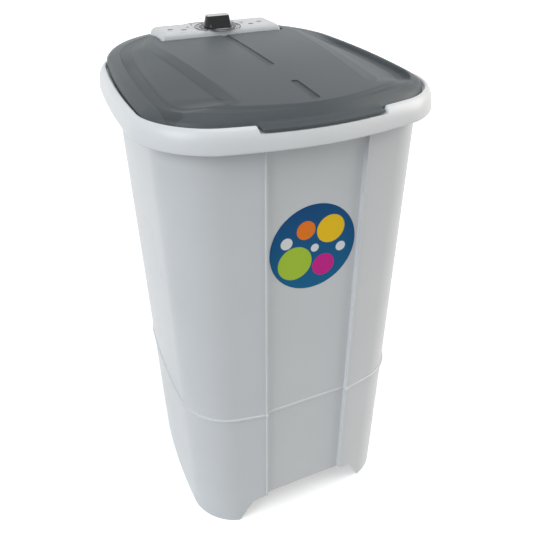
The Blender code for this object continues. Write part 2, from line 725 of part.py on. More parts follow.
def build_control_panel():
    seat = DECK_TOP + SEAT_GAP
    outer = [ring(PANEL_PLAN, flat(seat))]
    outer += [ring(inset(PANEL_PLAN, d), flat(PANEL_TOP - fall)) for d, fall in PANEL_PROFILE]
    hollow = inset(PANEL_PLAN, WALL)
    shoulder = PANEL_PROFILE[0][1]
    inner = [ring(inset(hollow, PANEL_PROFILE[2][0]), flat(PANEL_TOP - WALL))]
    inner += [ring(hollow, flat(z)) for z in (PANEL_TOP - shoulder, seat)]
    panel = loft("control_panel", inner + outer, PANEL_PLASTIC)
    profile = [(KNOB_BORE, PANEL_TOP - OVERRUN / 2), (KNOB_BORE, PANEL_TOP + OVERRUN)]
    cut(panel, turned("knob_bore_cutter", profile, None, (KNOB_X, KNOB_Y), SMALL_STEPS, closed=False))

    low = PANEL_TOP + SEAT_GAP
    high = low + DIAL_HEIGHT
    profile = [
        (DIAL_RADIUS, low),
        (DIAL_RADIUS - DIAL_HEIGHT, high),
        (DIAL_RADIUS - DIAL_WIDTH + DIAL_HEIGHT, high),
        (DIAL_RADIUS - DIAL_WIDTH, low),
    ]
    turned("dial_ring", profile, BLACK_PLASTIC, (KNOB_X, KNOB_Y), ROUND_STEPS)

    case_top = PANEL_TOP - WALL - SEAT_GAP
    box(
        "timer_case",
        (KNOB_X - TIMER_HALF_WIDTH, KNOB_Y - TIMER_HALF_DEPTH, case_top - TIMER_HEIGHT),
        (KNOB_X + TIMER_HALF_WIDTH, KNOB_Y + TIMER_HALF_DEPTH, case_top),
        GREY_PLASTIC,
        WALL / 2,
    )


# Timer knob: a cone cut by two slopes into a grip, with a silver top
KNOB_SKIRT_RADIUS = 0.0265
KNOB_SKIRT_HEIGHT = 0.0022
KNOB_CONE_RADIUS = 0.0258
KNOB_TOP_RADIUS = 0.0215
KNOB_HEIGHT = 0.0192
KNOB_CAP_HEIGHT = 0.0014
GRIP_TOP_HALF = 0.0070
GRIP_FOOT_HALF = 0.0190


def build_timer_knob():
    axis = (KNOB_X, KNOB_Y)
    base = PANEL_TOP + 2 * SEAT_GAP
    waist = base + KNOB_SKIRT_HEIGHT
    top = base + KNOB_HEIGHT
    cap_top = top + SEAT_GAP + KNOB_CAP_HEIGHT
    cap_radius = KNOB_TOP_RADIUS - KNOB_CAP_HEIGHT / 2
    profile = [(KNOB_SKIRT_RADIUS, base), (KNOB_SKIRT_RADIUS, waist), (KNOB_CONE_RADIUS, waist)]
    profile += [(KNOB_TOP_RADIUS, top)]
    knob = turned("timer_knob", profile, BLACK_PLASTIC, axis, closed=False)
    profile = [(KNOB_TOP_RADIUS, top + SEAT_GAP), (cap_radius, cap_top)]
    cap = turned("knob_cap", profile, SILVER, axis, closed=False)

    lean = (GRIP_FOOT_HALF - GRIP_TOP_HALF) / (top - waist)
    for side, name in ((-1, "front"), (1, "back")):
        high = top + OVERRUN
        outline = [
            (KNOB_Y + side * GRIP_FOOT_HALF, waist),
            (KNOB_Y + side * (GRIP_TOP_HALF - lean * OVERRUN), high),
            (KNOB_Y + side * 2 * KNOB_SKIRT_RADIUS, high),
            (KNOB_Y + side * 2 * KNOB_SKIRT_RADIUS, waist),
        ]
        reach = 2 * KNOB_SKIRT_RADIUS
        slope = side_prism(f"knob_{name}_slope_cutter", outline, KNOB_X - reach, KNOB_X + reach, None)
        cut(knob, slope)
        cut(cap, slope)

    shaft_low = PANEL_TOP - WALL
    socket = TIMER_SHAFT_RADIUS + SEAT_GAP
    shaft_top = shaft_low + TIMER_SHAFT_LENGTH
    profile = [(socket, base - OVERRUN), (socket, shaft_top + SEAT_GAP)]
    cut(knob, turned("knob_socket_cutter", profile, None, axis, SMALL_STEPS, closed=False))
    profile = [(TIMER_SHAFT_RADIUS, shaft_low), (TIMER_SHAFT_RADIUS, shaft_top)]
    shaft = turned("timer_shaft", profile, STEEL, axis, SMALL_STEPS, closed=False)
    set_axis((*axis, base), knob, cap, shaft)


# Lid: a smoked shell with a stepped middle, channels along its sides, a grip and a panel window
LID_INSET = 0.0175
LID_WALL = 0.0025
LID_GRIP_REACH = 0.0135
LID_GRIP_SIDE_GAP = 0.0057
LID_GRIP_HALF_WIDTH = NOTCH_HALF_WIDTH - LID_GRIP_SIDE_GAP
LID_GRIP_RUN = 0.0025
LID_SEAT = DECK_TOP + SEAT_GAP
LID_FRONT_EDGE = 0.0080
LID_BACK_EDGE = 0.0270
LID_EDGE_ROUND = 0.0020
PLATEAU_FRONT_RISE = 0.0239
PLATEAU_BACK_RISE = 0.0454
PLATEAU_FRONT = LID_SEAT + PLATEAU_FRONT_RISE
PLATEAU_BACK = LID_SEAT + PLATEAU_BACK_RISE
PLATEAU_FRONT_INSET = 0.0310
PLATEAU_BACK_INSET = 0.0340
CHANNEL_RIM_INSET = 0.0270
CHANNEL_FLOOR_INSET = 0.0320
CHANNEL_FLOOR_WIDTH = 0.0180
CHANNEL_WALL = 0.0070
CHANNEL_DEPTH = 0.0045
CHANNEL_FRONT_ROOM = 0.0645
CHANNEL_BACK_ROOM = 0.1295
CHANNEL_RAMP = 0.010
CHANNEL_FADE = 0.110
SIDE_ZONE_DROP = 0.0125
FACET_DROP = 0.0035
FACET_WIDTH = 0.022
MIDDLE_FRONT_MARGIN = 0.1415
MIDDLE_BACK_MARGIN = 0.0675
MIDDLE_FRONT_HALF = RIM_PLAN.front_half - MIDDLE_FRONT_MARGIN
MIDDLE_BACK_HALF = RIM_PLAN.back_half - MIDDLE_BACK_MARGIN
MIDDLE_CORNER = 0.010
MIDDLE_SIDE_BOW = 0.0015
GROOVE_HALF_WIDTH = 0.0065
GROOVE_DEPTH = 0.0012
LONG_GROOVE_ROOM = 0.1800
LONG_GROOVE_OVERLAP = 0.021
SHORT_GROOVE_ROOM = 0.0265
SHORT_GROOVE_LENGTH = 0.0770
WINDOW_GAP = 0.003
WINDOW_BACK_GAP = 0.007
HINGE_BACK_ROOM = 0.0325
HINGE_RISE = 0.0194
HINGE_Y = RIM_DEPTH / 2 - HINGE_BACK_ROOM
HINGE_Z = LID_SEAT + HINGE_RISE
HINGE_X = 0.060
PIN_RADIUS = 0.003
PIN_HALF_LENGTH = 0.0085
EAR_HALF_WIDTH = 0.002
EAR_RADIUS = 0.0068
CHEEK_GAP = 0.0008
CHEEK_THICKNESS = 0.004
CHEEK_BASE = 0.003
CHEEK_RISE = 0.0042
HINGE_SLOT_GAP = 0.0014
HINGE_SLOT_START = 0.0046
SWING_GAP = 0.0008
LID_LINE_PLAN = RIM_PLAN._replace(front_round=FRONT_CORNER, back_round=BACK_CORNER - LID_INSET)
LID_FRONT_Y = -RIM_DEPTH / 2 + LID_INSET
LID_BACK_Y = RIM_DEPTH / 2 - LID_INSET
CHANNEL_FRONT_Y = LID_FRONT_Y + CHANNEL_FRONT_ROOM
CHANNEL_BACK_Y = LID_BACK_Y - CHANNEL_BACK_ROOM
LONG_GROOVE = (LID_FRONT_Y + LONG_GROOVE_ROOM, PANEL_PLAN.front_y + LONG_GROOVE_OVERLAP)
SHORT_GROOVE = (LID_FRONT_Y + SHORT_GROOVE_ROOM, LID_FRONT_Y + SHORT_GROOVE_ROOM + SHORT_GROOVE_LENGTH)


def lid_depth_share(y):
    """How far back a depth lies between the lid's front and back edges."""
    return (y - LID_FRONT_Y) / (LID_BACK_Y - LID_FRONT_Y)


def plateau(y):
    """Height of the lid's middle, which rises towards the panel."""
    return PLATEAU_FRONT + (PLATEAU_BACK - PLATEAU_FRONT) * lid_depth_share(y)


def lid_edge(y):
    """Height of the lid's outer edge, low along the front half and high at the hinges."""
    rise = LID_FRONT_EDGE + (LID_BACK_EDGE - LID_FRONT_EDGE) * max(0.0, lid_depth_share(y)) ** 2
    return LID_SEAT + rise


def channel_gate(y):
    """One inside the length of the side channels, zero outside, with a ramp at each end."""
    front = (y - CHANNEL_FRONT_Y) / CHANNEL_RAMP
    back = (CHANNEL_BACK_Y - y) / CHANNEL_FADE
    return max(0.0, min(1.0, front, back))


def lid_rings(lower, grip):
    """The rings of the lid's skin from its shoulder to its middle, lowered for the inner skin."""
    plain = grip_stations(half=LID_GRIP_HALF_WIDTH, run=LID_GRIP_RUN)
    floor_end = CHANNEL_FLOOR_INSET + CHANNEL_FLOOR_WIDTH
    zone = CHANNEL_FLOOR_INSET + CHANNEL_FLOOR_WIDTH + CHANNEL_WALL
    front = PLATEAU_FRONT_INSET
    back = PLATEAU_BACK_INSET

    def side_zone(y):
        return plateau(y) - SIDE_ZONE_DROP

    def toward(share, y):
        return lid_edge(y) + LID_EDGE_ROUND + (side_zone(y) - lid_edge(y) - LID_EDGE_ROUND) * share

    shoulder = LID_INSET + LID_EDGE_ROUND
    facet_outer = RIM_PLAN._replace(
        front_half=MIDDLE_FRONT_HALF + FACET_WIDTH,
        back_half=MIDDLE_BACK_HALF + FACET_WIDTH / 2,
        front_y=RIM_PLAN.front_y + front + LID_WALL,
        back_y=RIM_PLAN.back_y - back - LID_WALL,
        side_bow=MIDDLE_SIDE_BOW,
        front_round=MIDDLE_CORNER * 2,
        back_round=min(BACK_CORNER, MIDDLE_BACK_HALF - MIDDLE_CORNER),
    )
    middle = facet_outer._replace(
        front_half=MIDDLE_FRONT_HALF,
        back_half=MIDDLE_BACK_HALF,
        front_y=facet_outer.front_y + LID_WALL,
        back_y=facet_outer.back_y - LID_WALL,
        front_round=MIDDLE_CORNER,
    )
    rows = [
        (parallel(RIM_PLAN, shoulder), lambda y: lid_edge(y) + LID_EDGE_ROUND, grip),
        (parallel(RIM_PLAN, shoulder + LID_EDGE_ROUND), lambda y: toward(0.1, y), plain),
        (inset(LID_LINE_PLAN, CHANNEL_RIM_INSET), lambda y: toward(0.4, y), plain),
        (
            inset(LID_LINE_PLAN, CHANNEL_FLOOR_INSET, front - 2 * LID_WALL),
            lambda y: toward(0.6, y) - CHANNEL_DEPTH * channel_gate(y),
            plain,
        ),
        (
            inset(LID_LINE_PLAN, floor_end, front - LID_WALL, back - LID_WALL),
            lambda y: toward(0.8, y) - CHANNEL_DEPTH * channel_gate(y),
            plain,
        ),
        (inset(LID_LINE_PLAN, zone, front, back), side_zone, plain),
        (facet_outer, lambda y: plateau(y) - FACET_DROP, plain),
        (middle, plateau, plain),
    ]
    return [ring(plan, lambda y, f=level: f(y) - lower, stations) for plan, level, stations in rows]


def groove_tool(name, low_y, high_y):
    """A slot with round ends that follows the slope of the lid's middle."""
    half = GROOVE_HALF_WIDTH
    turns = [pi * i / SMALL_STEPS for i in range(SMALL_STEPS + 1)]
    outline = [(half * cos(a), high_y - half + half * sin(a)) for a in turns]
    outline += [(-half * cos(a), low_y + half - half * sin(a)) for a in turns]
    rings = [[Vector((x, y, plateau(y) + offset)) for x, y in outline] for offset in (-GROOVE_DEPTH, OVERRUN)]
    return loft(name, rings, None)


def build_lid():
    grip = grip_stations(-LID_GRIP_REACH, half=LID_GRIP_HALF_WIDTH, run=LID_GRIP_RUN)
    plain = grip_stations(half=LID_GRIP_HALF_WIDTH, run=LID_GRIP_RUN)
    edge_plan = parallel(RIM_PLAN, LID_INSET)
    inner_plan = parallel(RIM_PLAN, LID_INSET + LID_WALL)
    inner = list(reversed(lid_rings(LID_WALL, plain)[2:]))
    inner += [ring(inner_plan, lambda y: lid_edge(y) - LID_WALL / 2, plain)]
    inner += [ring(inner_plan, flat(LID_SEAT), plain)]
    outer = [ring(edge_plan, flat(LID_SEAT), grip), ring(edge_plan, lid_edge, grip)]
    outer += lid_rings(0.0, grip)
    lid = loft("lid", inner + outer, SMOKED_PLASTIC)

    cut_swing_room(lid)
    for side, name in ((-1, "left"), (1, "right")):
        x = side * HINGE_X
        ear = side_prism(f"lid_ear_{name}_form", ear_outline(), x - EAR_HALF_WIDTH, x + EAR_HALF_WIDTH, None)
        join(lid, ear)

    window = inset(PANEL_PLAN, -WINDOW_GAP, back=-WINDOW_BACK_GAP)
    tool = [ring(window, flat(z)) for z in (LID_SEAT - OVERRUN, PLATEAU_BACK + OVERRUN)]
    cut(lid, loft("panel_window_cutter", tool, None))
    cut(lid, groove_tool("long_groove_cutter", *LONG_GROOVE))
    cut(lid, groove_tool("short_groove_cutter", *SHORT_GROOVE))

    bore = cross_cylinder("lid_pin_bore_cutter", PIN_RADIUS + SEAT_GAP, -2 * HINGE_X, 2 * HINGE_X)
    cut(lid, bore)
    axis = (0.0, HINGE_Y, HINGE_Z)
    pieces = [lid]
    for side, name in ((-1, "left"), (1, "right")):
        x = side * HINGE_X
        low, high = x - PIN_HALF_LENGTH, x + PIN_HALF_LENGTH
        pin = cross_cylinder(f"lid_hinge_pin_{name}", PIN_RADIUS, low, high, STEEL)
        pieces.append(pin)
        build_hinge_bracket(f"lid_hinge_bracket_{name}", x, bore)
    set_axis(axis, *pieces)


def cut_swing_room(lid):
    """Open the lid's back skirt, which swings under the hinge line, over the deck and at the brackets."""
    swing = HINGE_Z - DECK_TOP - SWING_GAP
    back = LID_BACK_Y - HINGE_Y
    floor = HINGE_Z - sqrt(swing * swing - back * back)
    far_y = RIM_DEPTH / 2
    low = (-RIM_BACK_WIDTH / 2, HINGE_Y, LID_SEAT - OVERRUN)
    cut(lid, box("back_skirt_cutter", low, (RIM_BACK_WIDTH / 2, far_y, floor), None))
    half = EAR_HALF_WIDTH + CHEEK_GAP + CHEEK_THICKNESS + HINGE_SLOT_GAP
    for side, name in ((-1, "left"), (1, "right")):
        x = side * HINGE_X
        low = (x - half, HINGE_Y + HINGE_SLOT_START, LID_SEAT - OVERRUN)
        high = (x + half, far_y, PLATEAU_BACK + OVERRUN)
        cut(lid, box(f"hinge_slot_{name}_cutter", low, high, None))


def ear_outline():
    """The lid's hinge ear in depth and height: round below its pin, straight up into the lid's skin."""
    turns = [pi + pi * i / 10 for i in range(11)]
    round_end = [(HINGE_Y + EAR_RADIUS * cos(a), HINGE_Z + EAR_RADIUS * sin(a)) for a in turns]
    back_top = plateau(HINGE_Y) - SIDE_ZONE_DROP - LID_WALL
    front_top = plateau(HINGE_Y) - FACET_DROP - LID_WALL / 2
    return round_end + [
        (HINGE_Y + EAR_RADIUS, back_top),
        (HINGE_Y, back_top + LID_WALL),
        (HINGE_Y - EAR_RADIUS, front_top),
    ]


def cross_cylinder(name, radius, low_x, high_x, finish=None):
    """A round bar along X on the lid's hinge line."""
    turns = [2 * pi * i / SMALL_STEPS for i in range(SMALL_STEPS)]
    outline = [(HINGE_Y + radius * cos(a), HINGE_Z + radius * sin(a)) for a in turns]
    return side_prism(name, outline, low_x, high_x, finish)


def build_hinge_bracket(name, x, bore):
    """A fork on the deck: a base and two cheeks that carry the pin."""
    gap = EAR_HALF_WIDTH + CHEEK_GAP
    outer = gap + CHEEK_THICKNESS
    seat = DECK_TOP + SEAT_GAP
    top = HINGE_Z + CHEEK_RISE
    fork = [
        (x - outer, seat),
        (x + outer, seat),
        (x + outer, top),
        (x + gap, top),
        (x + gap, seat + CHEEK_BASE),
        (x - gap, seat + CHEEK_BASE),
        (x - gap, top),
        (x - outer, top),
    ]
    bracket = front_prism(name, fork, HINGE_Y - EAR_RADIUS, HINGE_Y + EAR_RADIUS, WHITE_PLASTIC)
    cut(bracket, bore)


# Pulsator and the shaft that turns it
PULSATOR_CLEARANCE = 0.0050
PULSATOR_RADIUS = WELL_RADIUS - PULSATOR_CLEARANCE
PULSATOR_LIFT = 0.0050
PULSATOR_RADIUS_SHARES = (1.0, 1.0, 0.93, 0.42, 0.30, 0.20)
PULSATOR_HEIGHTS = (0.0, 0.008, 0.011, 0.015, 0.026, 0.031)
VANE_COUNT = 4
VANE_INNER_SHARE = 0.26
VANE_OUTER_SHARE = 0.88
VANE_HALF_WIDTH = 0.013
VANE_CREST_HALF = 0.004
VANE_HEIGHT = 0.030
VANE_END_SLOPE = 0.022
SCREW_WELL_RADIUS = 0.0110
SCREW_HEAD_RADIUS = 0.0080
SCREW_HEAD_HEIGHT = 0.0050
SCREW_SHANK_RADIUS = 0.0030
SHAFT_SOCKET_DEPTH = 0.016
CAP_HEIGHT = 0.003
BEARING_REACH = 0.143
BELT_DROP = 0.044
SHAFT_TAIL = 0.022
BEARING_BOTTOM = TUB_FLOOR - BEARING_REACH
BELT_MIDDLE_Z = BEARING_BOTTOM - BELT_DROP
SHAFT_BOTTOM = BELT_MIDDLE_Z - SHAFT_TAIL


def build_pulsator():
    centre = (0.0, DRIVE_Y)
    base = TUB_FLOOR - WELL_DEPTH + PULSATOR_LIFT
    shape = zip(PULSATOR_RADIUS_SHARES, PULSATOR_HEIGHTS)
    profile = [(share * PULSATOR_RADIUS, base + z) for share, z in shape]
    pulsator = turned("pulsator", profile, BLUE_PLASTIC, centre, PULLEY_STEPS, closed=False)
    floor_rise = PULSATOR_HEIGHTS[1] / 2
    for number in range(VANE_COUNT):
        vane = vane_form(number, base + floor_rise)
        join(pulsator, vane)
    top = base + PULSATOR_HEIGHTS[-1]
    shaft_top = base + SHAFT_SOCKET_DEPTH
    well_floor = top - CAP_HEIGHT - SCREW_HEAD_HEIGHT - 2 * SEAT_GAP
    bores = (
        ("pulsator_shaft_bore", DRIVE_SHAFT_RADIUS + RUNNING_GAP, base - OVERRUN, shaft_top + SEAT_GAP),
        ("pulsator_screw_bore", SCREW_SHANK_RADIUS + SEAT_GAP, shaft_top, well_floor + SEAT_GAP),
        ("pulsator_screw_well", SCREW_WELL_RADIUS, well_floor, top + OVERRUN),
    )
    for name, radius, low, high in bores:
        cut(pulsator, turned(name, [(radius, low), (radius, high)], None, centre, SMALL_STEPS, closed=False))

    head = well_floor + SEAT_GAP
    profile = [
        (SCREW_SHANK_RADIUS, shaft_top + SEAT_GAP),
        (SCREW_SHANK_RADIUS, head),
        (SCREW_HEAD_RADIUS, head),
        (SCREW_HEAD_RADIUS, head + SCREW_HEAD_HEIGHT),
    ]
    screw = turned("pulsator_screw", profile, STEEL, centre, SMALL_STEPS, closed=False)
    cap_radius = SCREW_WELL_RADIUS - SEAT_GAP
    cap_low = head + SCREW_HEAD_HEIGHT + SEAT_GAP
    profile = [(cap_radius, cap_low), (cap_radius, top), (cap_radius - CAP_HEIGHT / 2, top + CAP_HEIGHT / 2)]
    cap = turned("pulsator_cap", profile, GREY_PLASTIC, centre, SMALL_STEPS, closed=False)

    profile = [(DRIVE_SHAFT_RADIUS, SHAFT_BOTTOM), (DRIVE_SHAFT_RADIUS, shaft_top)]
    shaft = turned("drive_shaft", profile, STEEL, centre, SMALL_STEPS, closed=False)
    set_axis((*centre, base), pulsator, screw, cap, shaft)


def vane_form(number, low):
    """A ridge of the pulsator, from near its hub to near its edge."""
    inner = VANE_INNER_SHARE * PULSATOR_RADIUS
    outer = VANE_OUTER_SHARE * PULSATOR_RADIUS
    high = low + VANE_HEIGHT
    rings = []
    for z, half, slope in ((low, VANE_HALF_WIDTH, 0.0), (high, VANE_CREST_HALF, VANE_END_SLOPE)):
        rings.append([
            Vector((inner, -half, z)),
            Vector((outer - slope, -half, z)),
            Vector((outer - slope + half, 0.0, z)),
            Vector((outer - slope, half, z)),
            Vector((inner, half, z)),
        ])
    vane = loft(f"vane_{number + 1}_form", rings, None)
    turn = Matrix.Rotation(2 * pi * (number + 0.5) / VANE_COUNT, 4, "Z")
    vane.data.transform(Matrix.Translation((0.0, DRIVE_Y, 0.0)) @ turn)
    return vane


# Bearing housing under the tub, its bushes and its seal
BARREL_RADIUS = 0.021
BEARING_FLANGE_RADIUS = 0.046
BEARING_FLANGE_EDGE = 0.007
BEARING_FLANGE_HEIGHT = 0.010
NECK_RISE = 0.004
SEAL_SEAT_RADIUS = 0.0148
SEAL_HEIGHT = 0.007
BUSH_BORE_RADIUS = 0.0104
BUSH_LENGTH = 0.026


def build_bearing():
    centre = (0.0, DRIVE_Y)
    flange_top = TUB_FLOOR - WELL_DEPTH - WALL - SEAT_GAP
    neck_top = TUB_FLOOR - WELL_DEPTH + NECK_RISE
    seal_floor = neck_top - SEAL_HEIGHT - SEAT_GAP
    profile = [
        (BUSH_BORE_RADIUS, BEARING_BOTTOM),
        (BARREL_RADIUS, BEARING_BOTTOM),
        (BARREL_RADIUS, flange_top - BEARING_FLANGE_HEIGHT),
        (BEARING_FLANGE_RADIUS, flange_top - BEARING_FLANGE_EDGE),
        (BEARING_FLANGE_RADIUS, flange_top),
        (NECK_RADIUS, flange_top),
        (NECK_RADIUS, neck_top),
        (SEAL_SEAT_RADIUS, neck_top),
        (SEAL_SEAT_RADIUS, seal_floor),
        (BUSH_BORE_RADIUS, seal_floor),
    ]
    turned("bearing_housing", profile, ALUMINIUM, centre, ROUND_STEPS)

    bore = DRIVE_SHAFT_RADIUS + RUNNING_GAP
    sleeves = (
        ("upper_bush", BUSH_BORE_RADIUS - SEAT_GAP, seal_floor - SEAT_GAP - BUSH_LENGTH, BUSH_LENGTH, BRONZE),
        ("lower_bush", BUSH_BORE_RADIUS - SEAT_GAP, BEARING_BOTTOM, BUSH_LENGTH, BRONZE),
        ("shaft_seal", SEAL_SEAT_RADIUS - SEAT_GAP, seal_floor + SEAT_GAP, SEAL_HEIGHT - SEAT_GAP, RUBBER),
    )
    for name, radius, low, height, finish in sleeves:
        high = low + height
        turned(name, [(bore, low), (radius, low), (radius, high), (bore, high)], finish, centre, ROUND_STEPS)


# Belt drive: two grooved pulleys and the belt round them
PULLEY_CENTRES = MOTOR_Y - DRIVE_Y
BELT_HALF_WIDTH = 0.0050
BELT_FOOT_HALF = 0.0034
BELT_HEIGHT = 0.0060
BELT_GAP = 0.0006
PULLEY_LIP = 0.0025
PULLEY_LIP_WIDTH = 0.0022
DRIVEN_BELT_RADIUS = 0.1050
MOTOR_BELT_RADIUS = 0.0200
DRIVEN_HUB_RADIUS = 0.018
DRIVEN_WEB_HALF = 0.0030
DRIVEN_RIM_DEPTH = 0.0100
MOTOR_HUB_HALF = 0.0115
PULLEY_WINDOW_COUNT = 5
PULLEY_WINDOW_RADIUS = 0.022
PULLEY_WINDOW_SHARE = 0.56
NUT_RADIUS = 0.0100
NUT_HEIGHT = 0.0070
HEXAGON = 6


def groove_profile(belt_radius):
    """The rim of a pulley round the belt's groove, from its lower face to its upper one."""
    crest = belt_radius + PULLEY_LIP
    floor = belt_radius - BELT_HEIGHT - BELT_GAP
    mouth = BELT_HALF_WIDTH + BELT_GAP
    foot = BELT_FOOT_HALF + BELT_GAP
    face = mouth + PULLEY_LIP_WIDTH
    z = BELT_MIDDLE_Z
    lower = [(crest, z - face), (crest, z - mouth), (floor, z - foot)]
    upper = [(floor, z + foot), (crest, z + mouth), (crest, z + face)]
    return lower + upper


def belt_path(shrink, z):
    """The belt's outline round both pulleys at a distance inside its outer face."""
    big = DRIVEN_BELT_RADIUS - shrink
    small = MOTOR_BELT_RADIUS - shrink
    open_angle = atan2(sqrt(PULLEY_CENTRES ** 2 - (big - small) ** 2), big - small)
    points = []
    for centre_y, radius, start, end in (
        (DRIVE_Y, big, pi / 2 + open_angle, 5 * pi / 2 - open_angle),
        (MOTOR_Y, small, pi / 2 - open_angle, pi / 2 + open_angle),
    ):
        for angle in shares(start, end, PULLEY_STEPS * 3 // 4):
            points.append(Vector((radius * cos(angle), centre_y + radius * sin(angle), z)))
    return points


def build_belt_drive():
    drive = (0.0, DRIVE_Y)
    motor = (0.0, MOTOR_Y)
    z = BELT_MIDDLE_Z
    groove = groove_profile(DRIVEN_BELT_RADIUS)
    face = groove[-1][1] - z
    rim_inner = DRIVEN_BELT_RADIUS - DRIVEN_RIM_DEPTH
    bore = DRIVE_SHAFT_RADIUS + SEAT_GAP
    profile = [
        (bore, z - face),
        (DRIVEN_HUB_RADIUS, z - face),
        (DRIVEN_HUB_RADIUS, z - DRIVEN_WEB_HALF),
        (rim_inner, z - DRIVEN_WEB_HALF),
        (rim_inner, z - face),
        *groove,
        (rim_inner, z + face),
        (rim_inner, z + DRIVEN_WEB_HALF),
        (DRIVEN_HUB_RADIUS, z + DRIVEN_WEB_HALF),
        (DRIVEN_HUB_RADIUS, z + face),
        (bore, z + face),
    ]
    pulley = turned("driven_pulley", profile, ALUMINIUM, drive, PULLEY_STEPS)
    for number in range(PULLEY_WINDOW_COUNT):
        angle = 2 * pi * number / PULLEY_WINDOW_COUNT
        reach = PULLEY_WINDOW_SHARE * DRIVEN_BELT_RADIUS
        place = (reach * cos(angle), DRIVE_Y + reach * sin(angle))
        profile = [(PULLEY_WINDOW_RADIUS, z - OVERRUN), (PULLEY_WINDOW_RADIUS, z + OVERRUN)]
        cut(pulley, turned(f"pulley_window_{number + 1}", profile, None, place, SMALL_STEPS, closed=False))
    nut_top = z - face - SEAT_GAP
    profile = [(NUT_RADIUS, nut_top - NUT_HEIGHT), (NUT_RADIUS, nut_top)]
    nut = turned("pulley_nut", profile, STEEL, drive, HEXAGON, closed=False)
    profile = [(bore, nut_top - OVERRUN), (bore, nut_top + OVERRUN)]
    cut(nut, turned("nut_bore_cutter", profile, None, drive, SMALL_STEPS, closed=False))
    set_axis((*drive, z), pulley, nut)

    bore = MOTOR_SHAFT_RADIUS + SEAT_GAP
    groove = groove_profile(MOTOR_BELT_RADIUS)
    hub = groove[0][0] - PULLEY_LIP_WIDTH
    profile = [(bore, z - MOTOR_HUB_HALF), (hub, z - MOTOR_HUB_HALF), *groove, (bore, z + face)]
    small = turned("motor_pulley", profile, ALUMINIUM, motor, ROUND_STEPS)
    set_axis((*motor, z), small)

    foot = BELT_FOOT_HALF
    half = BELT_HALF_WIDTH
    rows = ((0.0, z - half), (0.0, z + half), (BELT_HEIGHT, z + foot), (BELT_HEIGHT, z - foot))
    loft("drive_belt", [belt_path(shrink, height) for shrink, height in rows], RUBBER, closed=True)


# Motor on its bracket, its mounts and its capacitor
BRACKET_HALF_WIDTH = 0.072
BRACKET_FRONT_REACH = 0.066
BRACKET_FLANGE = 0.014
BARREL_CLEARANCE = 0.004
MOUNT_RADIUS = 0.012
MOTOR_RADIUS = 0.0610
BRACKET_FRONT_Y = DRIVE_Y - BRACKET_FRONT_REACH
BRACKET_BACK_Y = MOTOR_Y + MOTOR_RADIUS
STACK_RADIUS = 0.0570
BELL_HEIGHT = 0.0260
BELL_SHOULDER = 0.0100
BELL_NOSE_RADIUS = 0.0180
STACK_HEIGHT = 0.0660
MOTOR_SHAFT_TAIL = 0.0165
MOTOR_SHAFT_BOTTOM = BELT_MIDDLE_Z - MOTOR_SHAFT_TAIL
SHAFT_IN_TOP_BELL = 0.012
TERMINAL_HALF_WIDTH = 0.013
TERMINAL_DEPTH = 0.014
TERMINAL_HEIGHT = 0.030
CAPACITOR_RADIUS = 0.0175
CAPACITOR_HALF_LENGTH = 0.045
CAPACITOR_ROOM = 0.0115
CAPACITOR_Y = MOTOR_Y - MOTOR_RADIUS - CAPACITOR_RADIUS - CAPACITOR_ROOM
CLAMP_WALL = 0.0015
CLAMP_HALF_WIDTH = 0.008
LOOM_RADIUS = 0.0040


